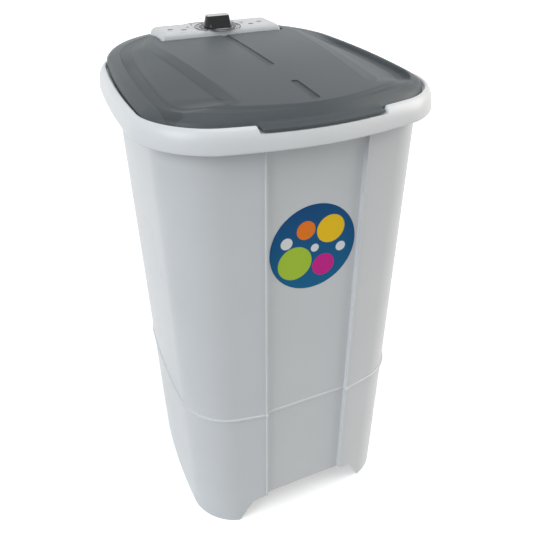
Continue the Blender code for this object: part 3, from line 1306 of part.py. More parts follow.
def build_motor():
    motor = (0.0, MOTOR_Y)
    plate_bottom = BRACKET_TOP - WALL
    half = BRACKET_HALF_WIDTH
    low = plate_bottom - BRACKET_FLANGE
    channel = [
        (-half, low),
        (-half + WALL, low),
        (-half + WALL, plate_bottom),
        (half - WALL, plate_bottom),
        (half - WALL, low),
        (half, low),
        (half, BRACKET_TOP),
        (-half, BRACKET_TOP),
    ]
    bracket = front_prism("motor_bracket", channel, BRACKET_FRONT_Y, BRACKET_BACK_Y, STEEL)
    hole = BARREL_RADIUS + BARREL_CLEARANCE
    profile = [(hole, plate_bottom - OVERRUN), (hole, plate_bottom + OVERRUN)]
    cut(bracket, turned("barrel_hole_cutter", profile, None, (0.0, DRIVE_Y), SMALL_STEPS, closed=False))
    mount_low = BRACKET_TOP + SEAT_GAP
    for number, place in enumerate(mount_places()):
        profile = [(MOUNT_RADIUS, mount_low), (MOUNT_RADIUS, mount_low + MOUNT_THICKNESS)]
        turned(f"motor_mount_{number + 1}", profile, RUBBER, place, SMALL_STEPS, closed=False)

    bore = MOTOR_SHAFT_RADIUS + RUNNING_GAP
    top = plate_bottom - SEAT_GAP
    bell_low = top - BELL_HEIGHT
    stack_top = bell_low - SEAT_GAP
    stack_low = stack_top - STACK_HEIGHT
    shaft_top = bell_low + SHAFT_IN_TOP_BELL
    profile = [
        (bore, bell_low),
        (MOTOR_RADIUS, bell_low),
        (MOTOR_RADIUS, top - BELL_SHOULDER),
        (MOTOR_RADIUS - BELL_SHOULDER, top),
        (bore, top),
    ]
    turned("motor_end_bell_upper", profile, ALUMINIUM, motor, ROUND_STEPS)
    profile = [(bore, stack_low), (STACK_RADIUS, stack_low), (STACK_RADIUS, stack_top), (bore, stack_top)]
    turned("motor_stator", profile, STEEL, motor, ROUND_STEPS)
    low = stack_low - SEAT_GAP
    profile = [
        (bore, low),
        (MOTOR_RADIUS, low),
        (MOTOR_RADIUS, low - BELL_HEIGHT + BELL_SHOULDER),
        (MOTOR_RADIUS - BELL_SHOULDER, low - BELL_HEIGHT),
        (bore, low - BELL_HEIGHT),
    ]
    turned("motor_end_bell_lower", profile, ALUMINIUM, motor, ROUND_STEPS)
    profile = [(MOTOR_SHAFT_RADIUS, MOTOR_SHAFT_BOTTOM), (MOTOR_SHAFT_RADIUS, shaft_top)]
    shaft = turned("motor_shaft", profile, STEEL, motor, SMALL_STEPS, closed=False)
    set_axis((*motor, BELT_MIDDLE_Z), shaft)

    box_y = MOTOR_Y + MOTOR_RADIUS + SEAT_GAP
    box_top = top - BELL_SHOULDER
    box(
        "motor_terminal_box",
        (-TERMINAL_HALF_WIDTH, box_y, box_top - TERMINAL_HEIGHT),
        (TERMINAL_HALF_WIDTH, box_y + TERMINAL_DEPTH, box_top),
        BLACK_PLASTIC,
        CLAMP_WALL,
    )

    clamp_radius = CAPACITOR_RADIUS + SEAT_GAP + CLAMP_WALL
    axis_z = plate_bottom - SEAT_GAP - clamp_radius
    side_round("capacitor", [CAPACITOR_RADIUS], CAPACITOR_HALF_LENGTH, axis_z, ALUMINIUM)
    bore = CAPACITOR_RADIUS + SEAT_GAP
    side_round("capacitor_clamp", [clamp_radius, bore], CLAMP_HALF_WIDTH, axis_z, STEEL)

    case_bottom = PANEL_TOP - WALL - SEAT_GAP - TIMER_HEIGHT
    lead_y = box_y + TERMINAL_DEPTH / 2
    drop = case_bottom - box_top
    route = [
        (DECK_HOLE_X, DECK_HOLE_Y, case_bottom - SEAT_GAP),
        (DECK_HOLE_X, DECK_HOLE_Y, case_bottom - drop / 6),
        (DECK_HOLE_X * 0.9, DECK_HOLE_Y, case_bottom - drop / 2),
        (0.0, lead_y, box_top + drop / 6),
        (0.0, lead_y, box_top + SEAT_GAP),
    ]
    swept("wiring_loom", smooth_path(route, 6), (LOOM_RADIUS,), BLACK_PLASTIC, steps=10)


def side_round(name, radii, half_length, axis_z, finish):
    """A round piece along X under the bracket: a bar, or a ring where it has two radii."""
    turns = [2 * pi * i / ROUND_STEPS for i in range(ROUND_STEPS)]

    def hoop(x, radius):
        return [Vector((x, CAPACITOR_Y + radius * cos(a), axis_z + radius * sin(a))) for a in turns]

    rings = [hoop(x, radii[0]) for x in (-half_length, half_length)]
    if len(radii) > 1:
        rings += [hoop(x, radii[1]) for x in (half_length, -half_length)]
    loft(name, rings, finish, closed=len(radii) > 1)


# Drain: strainer on the floor, spigot through it, hose to the outlet in the back wall
SPIGOT_RADIUS = 0.0140
SPIGOT_BORE = 0.0110
SPIGOT_FLANGE = 0.0180
SPIGOT_FLANGE_HEIGHT = 0.0035
SPIGOT_REACH = 0.027
SPIGOT_BOTTOM = TUB_FLOOR - SPIGOT_REACH
STRAINER_RADIUS = 0.0160
STRAINER_HEIGHT = 0.0025
STRAINER_SLOT_HALF = 0.0016
STRAINER_SLOT_SHARES = (-0.6, -0.2, 0.2, 0.6)
STRAINER_SLOT_LENGTH_SHARE = 0.6
HOSE_RADIUS = 0.0135
HOSE_BORE = 0.0110
HOSE_FALLS = (0.0005, 0.016, 0.038)
HOSE_BENDS = (
    (-0.005, -0.063, -0.130),
    (-0.002, -0.029, -0.190),
    (0.017, -0.015, -0.245),
    (0.048, -0.002, -0.283),
    (0.074, 0.016, -0.302),
)
OUTLET_FLANGE_RADIUS = 0.0215
OUTLET_FLANGE_HEIGHT = 0.0030
OUTLET_REACH = 0.0180
OUTLET_TAIL = 0.0120
GLAND_FLANGE_RADIUS = 0.0160
GLAND_FLANGE_HEIGHT = 0.0040
GLAND_TAIL = 0.0100
GLAND_BORE = 0.0042
WALL_SEAT = 0.0005


def build_drain():
    place = (DRAIN_X, DRAIN_Y)
    under = TUB_FLOOR - WALL - SEAT_GAP
    top = TUB_FLOOR - SEAT_GAP
    profile = [
        (SPIGOT_BORE, SPIGOT_BOTTOM),
        (SPIGOT_RADIUS, SPIGOT_BOTTOM),
        (SPIGOT_RADIUS, under - SPIGOT_FLANGE_HEIGHT),
        (SPIGOT_FLANGE, under - SPIGOT_FLANGE_HEIGHT),
        (SPIGOT_FLANGE, under),
        (SPIGOT_RADIUS, under),
        (SPIGOT_RADIUS, top),
        (SPIGOT_BORE, top),
    ]
    turned("drain_spigot", profile, GREY_PLASTIC, place, SMALL_STEPS)
    low = TUB_FLOOR + SEAT_GAP
    high = low + STRAINER_HEIGHT
    profile = [(STRAINER_RADIUS, low), (STRAINER_RADIUS - STRAINER_HEIGHT / 2, high)]
    strainer = turned("drain_strainer", profile, GREY_PLASTIC, place, ROUND_STEPS, closed=False)
    for number, share in enumerate(STRAINER_SLOT_SHARES):
        x = DRAIN_X + share * STRAINER_RADIUS
        reach = STRAINER_SLOT_LENGTH_SHARE * STRAINER_RADIUS
        slot = box(
            f"strainer_slot_{number + 1}",
            (x - STRAINER_SLOT_HALF, DRAIN_Y - reach, low - OVERRUN),
            (x + STRAINER_SLOT_HALF, DRAIN_Y + reach, high + OVERRUN),
            None,
        )
        cut(strainer, slot)

    inward = -back_normal(-CORD_HOLE_X, DRAIN_HOLE_Z)
    tail = back_wall(-CORD_HOLE_X, DRAIN_HOLE_Z) + inward * (WALL + OUTLET_TAIL)
    ends = [tail + inward * reach for reach in (2 * OUTLET_TAIL, OUTLET_TAIL, SEAT_GAP)]
    route = [(DRAIN_X, DRAIN_Y, SPIGOT_BOTTOM - fall) for fall in HOSE_FALLS]
    route += [(DRAIN_X + x, MOTOR_Y + y, TUB_FLOOR + z) for x, y, z in HOSE_BENDS]
    path = smooth_path([*route, *ends], 3)
    swept("drain_hose_inner", path, (HOSE_RADIUS, HOSE_BORE), GREY_PLASTIC, steps=12)

    neck = DRAIN_HOLE_RADIUS - SEAT_GAP
    profile = [
        (SPIGOT_BORE, -WALL - OUTLET_TAIL),
        (neck, -WALL - OUTLET_TAIL),
        (neck, WALL_SEAT),
        (OUTLET_FLANGE_RADIUS, WALL_SEAT),
        (OUTLET_FLANGE_RADIUS, WALL_SEAT + OUTLET_FLANGE_HEIGHT),
        (neck, WALL_SEAT + OUTLET_FLANGE_HEIGHT),
        (neck - SEAT_GAP, OUTLET_REACH),
        (SPIGOT_BORE, OUTLET_REACH),
    ]
    outlet = turned("drain_outlet", profile, GREY_PLASTIC, steps=SMALL_STEPS)
    turn_to_back(outlet, -CORD_HOLE_X, DRAIN_HOLE_Z)

    neck = CORD_HOLE_RADIUS - SEAT_GAP
    profile = [
        (GLAND_BORE, -WALL - GLAND_TAIL),
        (neck, -WALL - GLAND_TAIL),
        (neck, WALL_SEAT),
        (GLAND_FLANGE_RADIUS, WALL_SEAT),
        (GLAND_FLANGE_RADIUS - WALL_SEAT, WALL_SEAT + GLAND_FLANGE_HEIGHT),
        (GLAND_BORE, WALL_SEAT + GLAND_FLANGE_HEIGHT),
    ]
    gland = turned("cord_gland", profile, RUBBER, steps=SMALL_STEPS)
    turn_to_back(gland, CORD_HOLE_X, CORD_HOLE_Z)


def main():
    for obj in list(bpy.data.objects):
        bpy.data.objects.remove(obj)
    build_cabinet()
    build_feet()
    build_top_frame()
    build_wash_tub()
    build_control_panel()
    build_timer_knob()
    build_lid()
    build_pulsator()
    build_bearing()
    build_belt_drive()
    build_motor()
    build_drain()


main()
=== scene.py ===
"""Semi-automatic washing machine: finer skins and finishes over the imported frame."""

import json
from collections import namedtuple
from math import cos, pi, radians, sin, sqrt

import bmesh
import bpy
from bpy.props import FloatProperty, FloatVectorProperty, PointerProperty
from mathutils import Matrix, Vector


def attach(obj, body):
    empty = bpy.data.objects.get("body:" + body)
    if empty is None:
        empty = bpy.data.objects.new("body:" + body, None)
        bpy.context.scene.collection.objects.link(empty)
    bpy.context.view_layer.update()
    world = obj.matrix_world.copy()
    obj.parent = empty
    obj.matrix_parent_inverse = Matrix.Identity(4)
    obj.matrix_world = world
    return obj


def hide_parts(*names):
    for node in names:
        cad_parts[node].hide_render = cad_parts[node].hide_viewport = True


bl_info = {
    "name": "Washing machine skins",
    "version": (1, 0, 0),
    "blender": (4, 5, 0),
    "location": "View3D > Sidebar > Washer",
    "description": "Builds the finished outside of a single-tub washing machine over its solids",
    "category": "Object",
}

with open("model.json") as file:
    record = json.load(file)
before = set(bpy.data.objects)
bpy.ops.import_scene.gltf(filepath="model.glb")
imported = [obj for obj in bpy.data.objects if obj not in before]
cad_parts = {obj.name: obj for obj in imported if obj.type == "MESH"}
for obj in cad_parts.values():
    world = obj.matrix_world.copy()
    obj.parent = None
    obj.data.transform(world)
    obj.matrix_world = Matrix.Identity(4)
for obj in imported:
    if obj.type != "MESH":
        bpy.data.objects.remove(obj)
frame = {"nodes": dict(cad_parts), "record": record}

# Sizes and places of the mouldings, as in the solids
GABLE_SOFTNESS = 0.59
RIM_OVERHANG = 0.0239
CABINET_HEIGHT = 0.8397
RIB_X = 0.083
RECESS_DEPTH = 0.0065
WALL = 0.003
DECK_TOP = 0.8463
RIM_CREST = 0.8535
RIM_BOTTOM = 0.820
LID_SEAT = 0.8466
LID_INSET = 0.0175
LID_WALL = 0.0025
PLATEAU_FRONT = 0.8705
PLATEAU_BACK = 0.8920
LID_FRONT_Y = -0.2595
LID_BACK_Y = 0.2595
HINGE = Vector((0.0, 0.2445, 0.866))
HINGE_X = 0.060
PANEL_TOP = 0.896
KNOB_Y = 0.160
KNOB_BASE = 0.8966
KNOB_SHOULDER = 0.8988
KNOB_HEAD = 0.9158

# Finer forms that only the skins have
BEAD_Z = 0.2935
BEAD_HALF = 0.0036
BEAD_HEIGHT = 0.0022
ARCH_REACH = 0.554
BACK_ARCH_LOSS = 0.030
CHANNEL_START = 0.0392
CHANNEL_END = 0.0595
CHANNEL_DIP = 0.0064
CREASE_RADIUS = 0.0009
GROOVE_HALF = 0.0058
GROOVE_DEPTH = 0.0015
LONG_GROOVE = (-0.0795, 0.150)
SHORT_GROOVE = (-0.233, -0.156)
TOOL_LOW = 0.8266
TOOL_BACK = 0.277
PRINT_THICKNESS = 0.0006

Plan = namedtuple(
    "Plan", "front_half back_half front_y back_y front_bow back_bow side_bow front_round back_round"
)
RIM_PLAN = Plan(0.2455, 0.2135, -0.2336, 0.261, 0.0434, 0.016, 0.0166, 0.0965, 0.126)
LID_LINE_PLAN = RIM_PLAN._replace(front_round=0.0726, back_round=0.1085)
OPENING_PLAN = Plan(0.197, 0.186, -0.196, 0.098, 0.036, 0.008, 0.006, 0.068, 0.068)
PANEL_PLAN = Plan(0.1165, 0.1165, 0.129, 0.213, 0.0, 0.0, 0.0, 0.006, 0.009)


def inset(plan, sides, front=None, back=None):
    """The plan drawn in by a distance, which may differ at the front and at the back."""
    front = sides if front is None else front
    back = sides if back is None else back
    return plan._replace(
        front_half=plan.front_half - sides,
        back_half=plan.back_half - sides,
        front_y=plan.front_y + front,
        back_y=plan.back_y - back,
    )


def parallel(plan, inward):
    """The plan drawn in by one distance all round, with corners that shrink along with it."""
    return inset(plan, inward)._replace(
        front_round=plan.front_round - inward, back_round=plan.back_round - inward
    )


CABINET_TOP_PLAN = inset(RIM_PLAN, RIM_OVERHANG)._replace(front_round=LID_LINE_PLAN.front_round)
CABINET_BASE_PLAN = CABINET_TOP_PLAN._replace(
    front_half=0.2068,
    back_half=0.1771,
    back_y=CABINET_TOP_PLAN.back_y - 0.0242,
    front_bow=0.034,
    front_round=0.0676,
    back_round=0.121,
)


def cabinet_plan(z):
    """The cabinet's outline at a height: its walls taper towards the floor."""
    share = z / CABINET_HEIGHT
    return Plan(*(a + (b - a) * share for a, b in zip(CABINET_BASE_PLAN, CABINET_TOP_PLAN)))


def front_depth(plan, x):
    """Depth of the front edge at x: two soft slopes that meet on the centre line."""
    soft = GABLE_SOFTNESS
    across = x / plan.front_half
    fall = (sqrt(across * across + soft * soft) - soft) / (sqrt(1 + soft * soft) - soft)
    return plan.front_y - plan.front_bow * (1 - fall)


def shares(low, high, steps):
    """Evenly spaced values from low to high, both included."""
    return [low + (high - low) * i / steps for i in range(steps + 1)]


def turns_of(steps):
    """Evenly spaced angles of one full turn."""
    return [2 * pi * i / steps for i in range(steps)]


def conic(start, control, end, steps):
    """The inner points of a corner drawn as a conic with the weight of a circle's quarter."""
    weight = cos(pi / 4)
    points = []
    for t in shares(0.0, 1.0, steps)[1:-1]:
        a, b, c = (1 - t) ** 2, 2 * weight * t * (1 - t), t * t
        points.append((start * a + control * b + end * c) / (a + b + c))
    return points


def ring(plan, level, marks, reach=0.0, fall=0.0, steps=18):
    """One closed outline in 3-D.

    Marks lay out the right half of the front from the outside in, each as its place, its share of
    the step and the place that its depth is read at.
    """
    end = plan.front_half - plan.front_round
    half = marks(end)
    front = [(-end, 0.0, -end)] + [(-x, step, -bow) for x, step, bow in half]
    front += [mark for mark in reversed(half) if mark[0] > 0] + [(end, 0.0, end)]
    points = [Vector((x, front_depth(plan, bow) + step * reach)) for x, step, bow in front]
    drops = [step * fall for _, step, _ in front]

    corner_front = Vector((plan.front_half, plan.front_y))
    corner_back = Vector((plan.back_half, plan.back_y))
    run = corner_back - corner_front
    outward = Vector((run.y, -run.x)) / run.length
    trims = plan.front_round / run.length, 1 - plan.back_round / run.length
    side = [
        corner_front + run * t + outward * plan.side_bow * (1 - (2 * t - 1) ** 2)
        for t in shares(*trims, steps)
    ]
    back_end = plan.back_half - plan.back_round
    back = [
        Vector((x, plan.back_y + plan.back_bow * (1 - (x / plan.back_half) ** 2)))
        for x in shares(back_end, -back_end, steps)
    ]
    right = conic(points[-1], corner_front, side[0], steps) + side
    right += conic(side[-1], corner_back, back[0], steps)
    left = [Vector((-p.x, p.y)) for p in reversed(right)]
    points += right + back + left
    drops += [0.0] * (len(points) - len(drops))
    return [Vector((p.x, p.y, level(p.y) - drop)) for p, drop in zip(points, drops)]


def flat(z):
    """A level that is the same at every depth."""
    return lambda y: z


def softened(rings, radius):
    """Rings with each inner one widened to three, so that its edge turns round."""
    most_share, least_length = 0.42, 1e-6
    out = [rings[0]]
    for before, here, after in zip(rings, rings[1:], rings[2:]):
        rows = [[], [], []]
        for a, p, b in zip(before, here, after):
            back, on = a - p, b - p
            near = p + back * min(most_share, radius / max(back.length, least_length))
            far = p + on * min(most_share, radius / max(on.length, least_length))
            rows[0].append(near)
            rows[1].append(near * 0.25 + p * 0.5 + far * 0.25)
            rows[2].append(far)
        out += rows
    return out + [rings[-1]]


def shade(mesh, angle=40.0):
    """Smooth shading that stays crisp at edges sharper than an angle."""
    mesh.shade_smooth()
    mesh.set_sharp_from_angle(angle=radians(angle))


def as_object(name, bm):
    """A bmesh as an object in the scene, to be finished or to cut with."""
    mesh = bpy.data.meshes.new(name)
    bm.to_mesh(mesh)
    bm.free()
    obj = bpy.data.objects.new(name, mesh)
    bpy.context.scene.collection.objects.link(obj)
    return obj


def add_piece(name, bm, body, material, replaces=(), angle=40.0, weighted=True):
    """A finished piece in the scene, riding on its body."""
    obj = as_object(name, bm)
    shade(obj.data, angle)
    obj.data.materials.append(material)
    if weighted:
        modifier = obj.modifiers.new("flat faces", "WEIGHTED_NORMAL")
        modifier.keep_sharp = True
    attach(obj, body)
    if replaces:
        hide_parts(*replaces)
    return obj


def moulded(rings, closed=False):
    """A skin that is extruded from outline to outline, then closed on itself or capped."""
    bm = bmesh.new()
    loop = bmesh.ops.create_circle(bm, segments=len(rings[0]), radius=1.0)["verts"]
    for vert, point in zip(loop, rings[0]):
        vert.co = point
    first = loop
    for points in rings[1:]:
        pairs = zip(loop, loop[1:] + loop[:1])
        edges = [bm.edges.get(pair) for pair in pairs]
        made = bmesh.ops.extrude_edge_only(bm, edges=edges)["geom"]
        fresh = {v for v in made if isinstance(v, bmesh.types.BMVert)}
        loop = [next(e.other_vert(v) for e in v.link_edges if e.other_vert(v) in fresh) for v in loop]
        for vert, point in zip(loop, points):
            vert.co = point
    ends = [[bm.edges.get(pair) for pair in zip(row, row[1:] + row[:1])] for row in (first, loop)]
    if closed:
        bmesh.ops.bridge_loops(bm, edges=ends[0] + ends[1])
    else:
        for edges in ends:
            bmesh.ops.edgeloop_fill(bm, edges=edges)
    bmesh.ops.recalc_face_normals(bm, faces=bm.faces)
    if bm.calc_volume(signed=True) < 0:
        bmesh.ops.reverse_faces(bm, faces=bm.faces)
    return bm


def circle(radius, z, centre, steps):
    """A round outline about a point of the plan."""
    return [
        Vector((centre[0] + radius * cos(a), centre[1] + radius * sin(a), z)) for a in turns_of(steps)
    ]


def turned(profile, centre, steps=96, closed=False, soft=0.0):
    """A turned piece about an upright axis through a point of the plan."""
    rings = [circle(r, z, centre, steps) for r, z in profile]
    return moulded(softened(rings, soft) if soft else rings, closed)


def block(low, high):
    """A box between two corners."""
    bm = bmesh.new()
    low, high = Vector(low), Vector(high)
    size = Matrix.Diagonal((*(high - low), 1.0))
    bmesh.ops.create_cube(bm, size=1.0, matrix=Matrix.Translation((low + high) / 2) @ size)
    return bm


def carve(obj, *tools):
    """Cut tools from a piece, keep the result as its mesh, and drop the tools."""
    for tool in tools:
        modifier = obj.modifiers.new(tool.name, "BOOLEAN")
        modifier.operation = "DIFFERENCE"
        modifier.object = tool
    bpy.context.view_layer.update()
    depsgraph = bpy.context.evaluated_depsgraph_get()
    for modifier in obj.modifiers:
        if modifier.type != "BOOLEAN":
            modifier.show_viewport = False
    bpy.context.view_layer.update()
    mesh = bpy.data.meshes.new_from_object(obj.evaluated_get(depsgraph))
    for modifier in list(obj.modifiers):
        if modifier.type == "BOOLEAN":
            obj.modifiers.remove(modifier)
        else:
            modifier.show_viewport = True
    obj.data = mesh
    shade(mesh)
    for tool in tools:
        bpy.data.objects.remove(tool)


# Finishes
def add_node(tree, kind, inputs=None, **settings):
    """A shader node whose inputs are given as plain values or as other nodes' outputs."""
    node = tree.nodes.new(f"ShaderNode{kind}")
    for name, value in settings.items():
        setattr(node, name, value)
    for name, value in (inputs or {}).items():
        if isinstance(value, bpy.types.NodeSocket):
            tree.links.new(value, node.inputs[name])
        else:
            node.inputs[name].default_value = value
    return node


def calculated(tree, operation, *values):
    """The result of a Math node."""
    return add_node(tree, "Math", dict(enumerate(values)), operation=operation).outputs["Value"]


def mapped(tree, value, start, end, low=0.0, high=1.0, kind="LINEAR"):
    """A value taken from one range to another."""
    inputs = {"Value": value, "From Min": start, "From Max": end, "To Min": low, "To Max": high}
    return add_node(tree, "MapRange", inputs, interpolation_type=kind).outputs["Result"]


def mixed(tree, factor, first, second):
    """A colour that runs from one to another with a factor."""
    inputs = {"Factor": factor, "A": first, "B": second}
    return add_node(tree, "Mix", inputs, data_type="RGBA").outputs["Result"]


def noise(tree, vector, scale, detail=2.0):
    """The strength of a Noise node."""
    return add_node(tree, "TexNoise", {"Vector": vector, "Scale": scale, "Detail": detail}).outputs["Fac"]


def varied(tree, factor, low, high, target):
    """A value that runs from low to high with a factor, into a socket."""
    tree.links.new(mapped(tree, factor, 0.0, 1.0, low, high), target)


def tinted(tree, factor, first, second, target):
    """A colour that runs from one to another with a factor, into a socket."""
    tree.links.new(mixed(tree, factor, (*first, 1.0), (*second, 1.0)), target)


def new_group(name, outputs, scales=()):
    """A new node group that reads a Vector and some scales, with its two end nodes."""
    group = bpy.data.node_groups.new(name, "ShaderNodeTree")
    group.interface.new_socket(name="Vector", in_out="INPUT", socket_type="NodeSocketVector")
    for label, default in scales:
        socket = group.interface.new_socket(name=label, in_out="INPUT", socket_type="NodeSocketFloat")
        socket.default_value = default
    for label in outputs:
        group.interface.new_socket(name=label, in_out="OUTPUT", socket_type="NodeSocketFloat")
    return group, group.nodes.new("NodeGroupInput"), group.nodes.new("NodeGroupOutput")


def plastic_grain_group():
    """Fine grain, slow mottling and faint scuffs of a moulded surface."""
    name = "Moulded surface"
    if name in bpy.data.node_groups:
        return bpy.data.node_groups[name]
    scales = (("Grain scale", 900.0), ("Mottle scale", 7.0), ("Scuff scale", 40.0))
    group, source, out = new_group(name, ("Grain", "Mottle", "Scuff"), scales)
    for label, detail, low, high in (
        ("Grain", 2.0, 0.35, 0.65), ("Mottle", 3.0, 0.3, 0.7), ("Scuff", 6.0, 0.56, 0.72)
    ):
        strength = noise(group, source.outputs["Vector"], source.outputs[f"{label} scale"], detail)
        group.links.new(mapped(group, strength, low, high), out.inputs[label])
    return group


def brushed_group():
    """Long thin scratches of drawn or turned metal, and its slow stains."""
    name = "Drawn metal"
    if name in bpy.data.node_groups:
        return bpy.data.node_groups[name]
    group, source, out = new_group(name, ("Scratch", "Stain"))
    vector = source.outputs["Vector"]
    stretch = add_node(group, "Mapping", {"Vector": vector, "Scale": (60.0, 60.0, 1800.0)})
    group.links.new(noise(group, stretch.outputs["Vector"], 1.0), out.inputs["Scratch"])
    group.links.new(noise(group, vector, 35.0, 5.0), out.inputs["Stain"])
    return group


def side_zone_group():
    """Where a point of the lid lies, in metres: in from the side line, back, and across."""
    name = "Lid zones"
    if name in bpy.data.node_groups:
        return bpy.data.node_groups[name]
    group, source, out = new_group(name, ("Inward", "Back", "Across"))
    split = add_node(group, "SeparateXYZ", {"Vector": source.outputs["Vector"]}).outputs
    plan = LID_LINE_PLAN
    middle = (plan.front_y + plan.back_y) / 2
    half_run = (plan.back_y - plan.front_y) / 2

    def step(operation, *values):
        return calculated(group, operation, *values)

    back = step("DIVIDE", step("SUBTRACT", split["Y"], middle), half_run)
    bow = step("MULTIPLY", step("SUBTRACT", 1.0, step("MULTIPLY", back, back)), plan.side_bow)
    taper = step("MULTIPLY", back, (plan.back_half - plan.front_half) / 2)
    line = step("ADD", step("ADD", bow, taper), (plan.front_half + plan.back_half) / 2)
    inward = step("SUBTRACT", line, step("ABSOLUTE", split["X"]))
    for label, value in (("Inward", inward), ("Back", split["Y"]), ("Across", split["X"])):
        group.links.new(value, out.inputs[label])
    return group


def shader_of(name):
    """A new material with its node tree and Principled shader."""
    material = bpy.data.materials.new(name)
    material.use_nodes = True
    tree = material.node_tree
    return material, tree, tree.nodes["Principled BSDF"]


def placed(tree, group):
    """The outputs of a node group that reads Object coordinates."""
    place = add_node(tree, "TexCoord").outputs["Object"]
    return add_node(tree, "Group", {"Vector": place}, node_tree=group).outputs


def bumped(tree, height, depth, shader):
    """A fine relief on a shader."""
    bump = add_node(tree, "Bump", {"Height": height, "Distance": depth})
    tree.links.new(bump.outputs["Normal"], shader.inputs["Normal"])


def plastic(name, colour, roughness, depth=0.00002, shine=0.5, contrast=0.04):
    """Moulded plastic or rubber: mottled colour, uneven gloss and a fine grain."""
    if name in bpy.data.materials:
        return bpy.data.materials[name]
    material, tree, shader = shader_of(name)
    surface = placed(tree, plastic_grain_group())
    darker = tuple(c * (1 - contrast) for c in colour)
    tinted(tree, surface["Mottle"], colour, darker, shader.inputs["Base Color"])
    varied(tree, surface["Scuff"], roughness, min(1.0, roughness * 1.35), shader.inputs["Roughness"])
    bumped(tree, surface["Grain"], depth, shader)
    shader.inputs["Specular IOR Level"].default_value = shine
    return material


def smoked(name, colour):
    """See-through dark plastic of the lid.

    It grows paler towards the back and the right as painted reflection and light. It is darkened
    with painted shade in the side channels, in the slanting strip on the left and in the grooves,
    most at the grooves' edges.
    """
    if name in bpy.data.materials:
        return bpy.data.materials[name]
    material, tree, shader = shader_of(name)
    surface = placed(tree, plastic_grain_group())
    zones = placed(tree, side_zone_group())
    inward, back, across = zones["Inward"], zones["Back"], zones["Across"]

    def ramp(*values):
        """A value taken softly from one range to another."""
        return mapped(tree, *values, kind="SMOOTHSTEP")

    def times(first, second):
        return calculated(tree, "MULTIPLY", first, second)

    def between(value, rise, fall):
        """One between two soft edges, each given by where it starts and ends."""
        return times(ramp(value, *rise, 0.0, 1.0), ramp(value, *fall, 1.0, 0.0))

    # Painted shade: the side channels are darkened, standing in for the shade between their walls.
    wall, far_wall = (CHANNEL_START - 0.0018, CHANNEL_START), (CHANNEL_END, CHANNEL_END + 0.0025)
    channel_shade = times(between(inward, wall, far_wall), between(back, (-0.206, -0.200), (0.04, 0.15)))
    # Painted shade: the slanting facet on the left, which faces away from the light, is darkened.
    slope = 0.075
    slanted = calculated(tree, "MULTIPLY_ADD", back, slope, across)
    width = between(slanted, (-0.1470, -0.1450), (-0.1245, -0.1228))
    slant_shade = times(width, between(back, (-0.2150, -0.2135), (-0.01, 0.10)))
    off_centre = calculated(tree, "ABSOLUTE", across)

    def groove_mask(margin, end_blur=0.002, side_blur=0.0004, overlap=0.0006):
        """One over both grooves, whose outline is drawn in by a margin."""
        lengths = []
        for low, high in (LONG_GROOVE, SHORT_GROOVE):
            start, end = low + margin, high - margin
            lengths.append(between(back, (start, start + end_blur), (end - end_blur, end)))
        edge = GROOVE_HALF + overlap - margin
        side = ramp(off_centre, edge - side_blur, edge + side_blur, 1.0, 0.0)
        return times(calculated(tree, "ADD", *lengths), side)

    # Painted reflection and light: paler towards the back and towards the right.
    painted_light_and_shade = times(ramp(back, -0.16, 0.20, 0.87, 1.14), ramp(across, -0.10, 0.20, 0.98, 1.16))
    # Painted shade in the grooves: the whole slot is darker, its outline darkest and its floor a little
    # lighter.
    groove_shade, groove_floor_less_shade = groove_mask(0.0), groove_mask(0.0029)
    for mask, amount in ((channel_shade, 0.74), (slant_shade, 0.70), (groove_shade, 0.58), (groove_floor_less_shade, 1.22)):
        painted_light_and_shade = times(painted_light_and_shade, ramp(mask, 0.0, 1.0, 1.0, amount))
    toned = add_node(tree, "VectorMath", {0: colour, "Scale": painted_light_and_shade}, operation="SCALE")
    tree.links.new(toned.outputs["Vector"], shader.inputs["Base Color"])
    varied(tree, surface["Mottle"], 0.40, 0.43, shader.inputs["Roughness"])
    bumped(tree, surface["Grain"], 0.00001, shader)
    shader.inputs["Alpha"].default_value = 0.80
    shader.inputs["Specular IOR Level"].default_value = 0.3
    return material


def metal(name, colour, roughness, stain=0.25):
    """Drawn or cast metal: fine scratches, slow stains."""
    if name in bpy.data.materials:
        return bpy.data.materials[name]
    material, tree, shader = shader_of(name)
    surface = placed(tree, brushed_group())
    darker = tuple(c * (1 - stain) for c in colour)
    tinted(tree, surface["Stain"], colour, darker, shader.inputs["Base Color"])
    varied(tree, surface["Scratch"], roughness * 0.8, roughness * 1.3, shader.inputs["Roughness"])
    bumped(tree, surface["Scratch"], 0.00003, shader)
    shader.inputs["Metallic"].default_value = 1.0
    return material


def finishes():
    """The materials of the machine, by the name of their slot."""
    colours = bpy.context.scene.washer_colours
    return {
        "white_shell": plastic("white shell plastic", colours.shell, 0.34, contrast=0.035),
        "tub_white": plastic("white tub plastic", (0.72, 0.74, 0.76), 0.3),
        "smoked_lid": smoked("smoked lid plastic", colours.lid),
        "panel_white": plastic("white panel plastic", colours.panel, 0.3),
        "knob_black": plastic("black knob plastic", (0.010, 0.011, 0.012), 0.14, contrast=0.2, shine=0.3),
        "knob_silver": metal("silver knob cap", (0.50, 0.51, 0.51), 0.34, stain=0.05),
        "grey_plastic": plastic("grey inner plastic", (0.17, 0.18, 0.19), 0.5),
        "pulsator_blue": plastic("blue pulsator plastic", (0.23, 0.34, 0.48), 0.35),
        "steel": metal("drawn steel", (0.50, 0.50, 0.51), 0.32),
        "cast_aluminium": metal("cast aluminium", (0.62, 0.63, 0.64), 0.45),
        "bronze": metal("bush bronze", (0.50, 0.31, 0.13), 0.35),
        "black_rubber": plastic("black rubber", (0.018, 0.018, 0.018), 0.75, depth=0.00006, contrast=0.3),
    }


class WasherSizes(bpy.types.PropertyGroup):
    """Sizes of the machine's trim."""

    label_radius: FloatProperty(
        name="Label radius",
        description="Radius of the round label on the front",
        default=0.0770,
        unit="LENGTH",
    )
    label_height: FloatProperty(
        name="Label height",
        description="Height of the label's centre",
        default=0.6320,
        unit="LENGTH",
    )


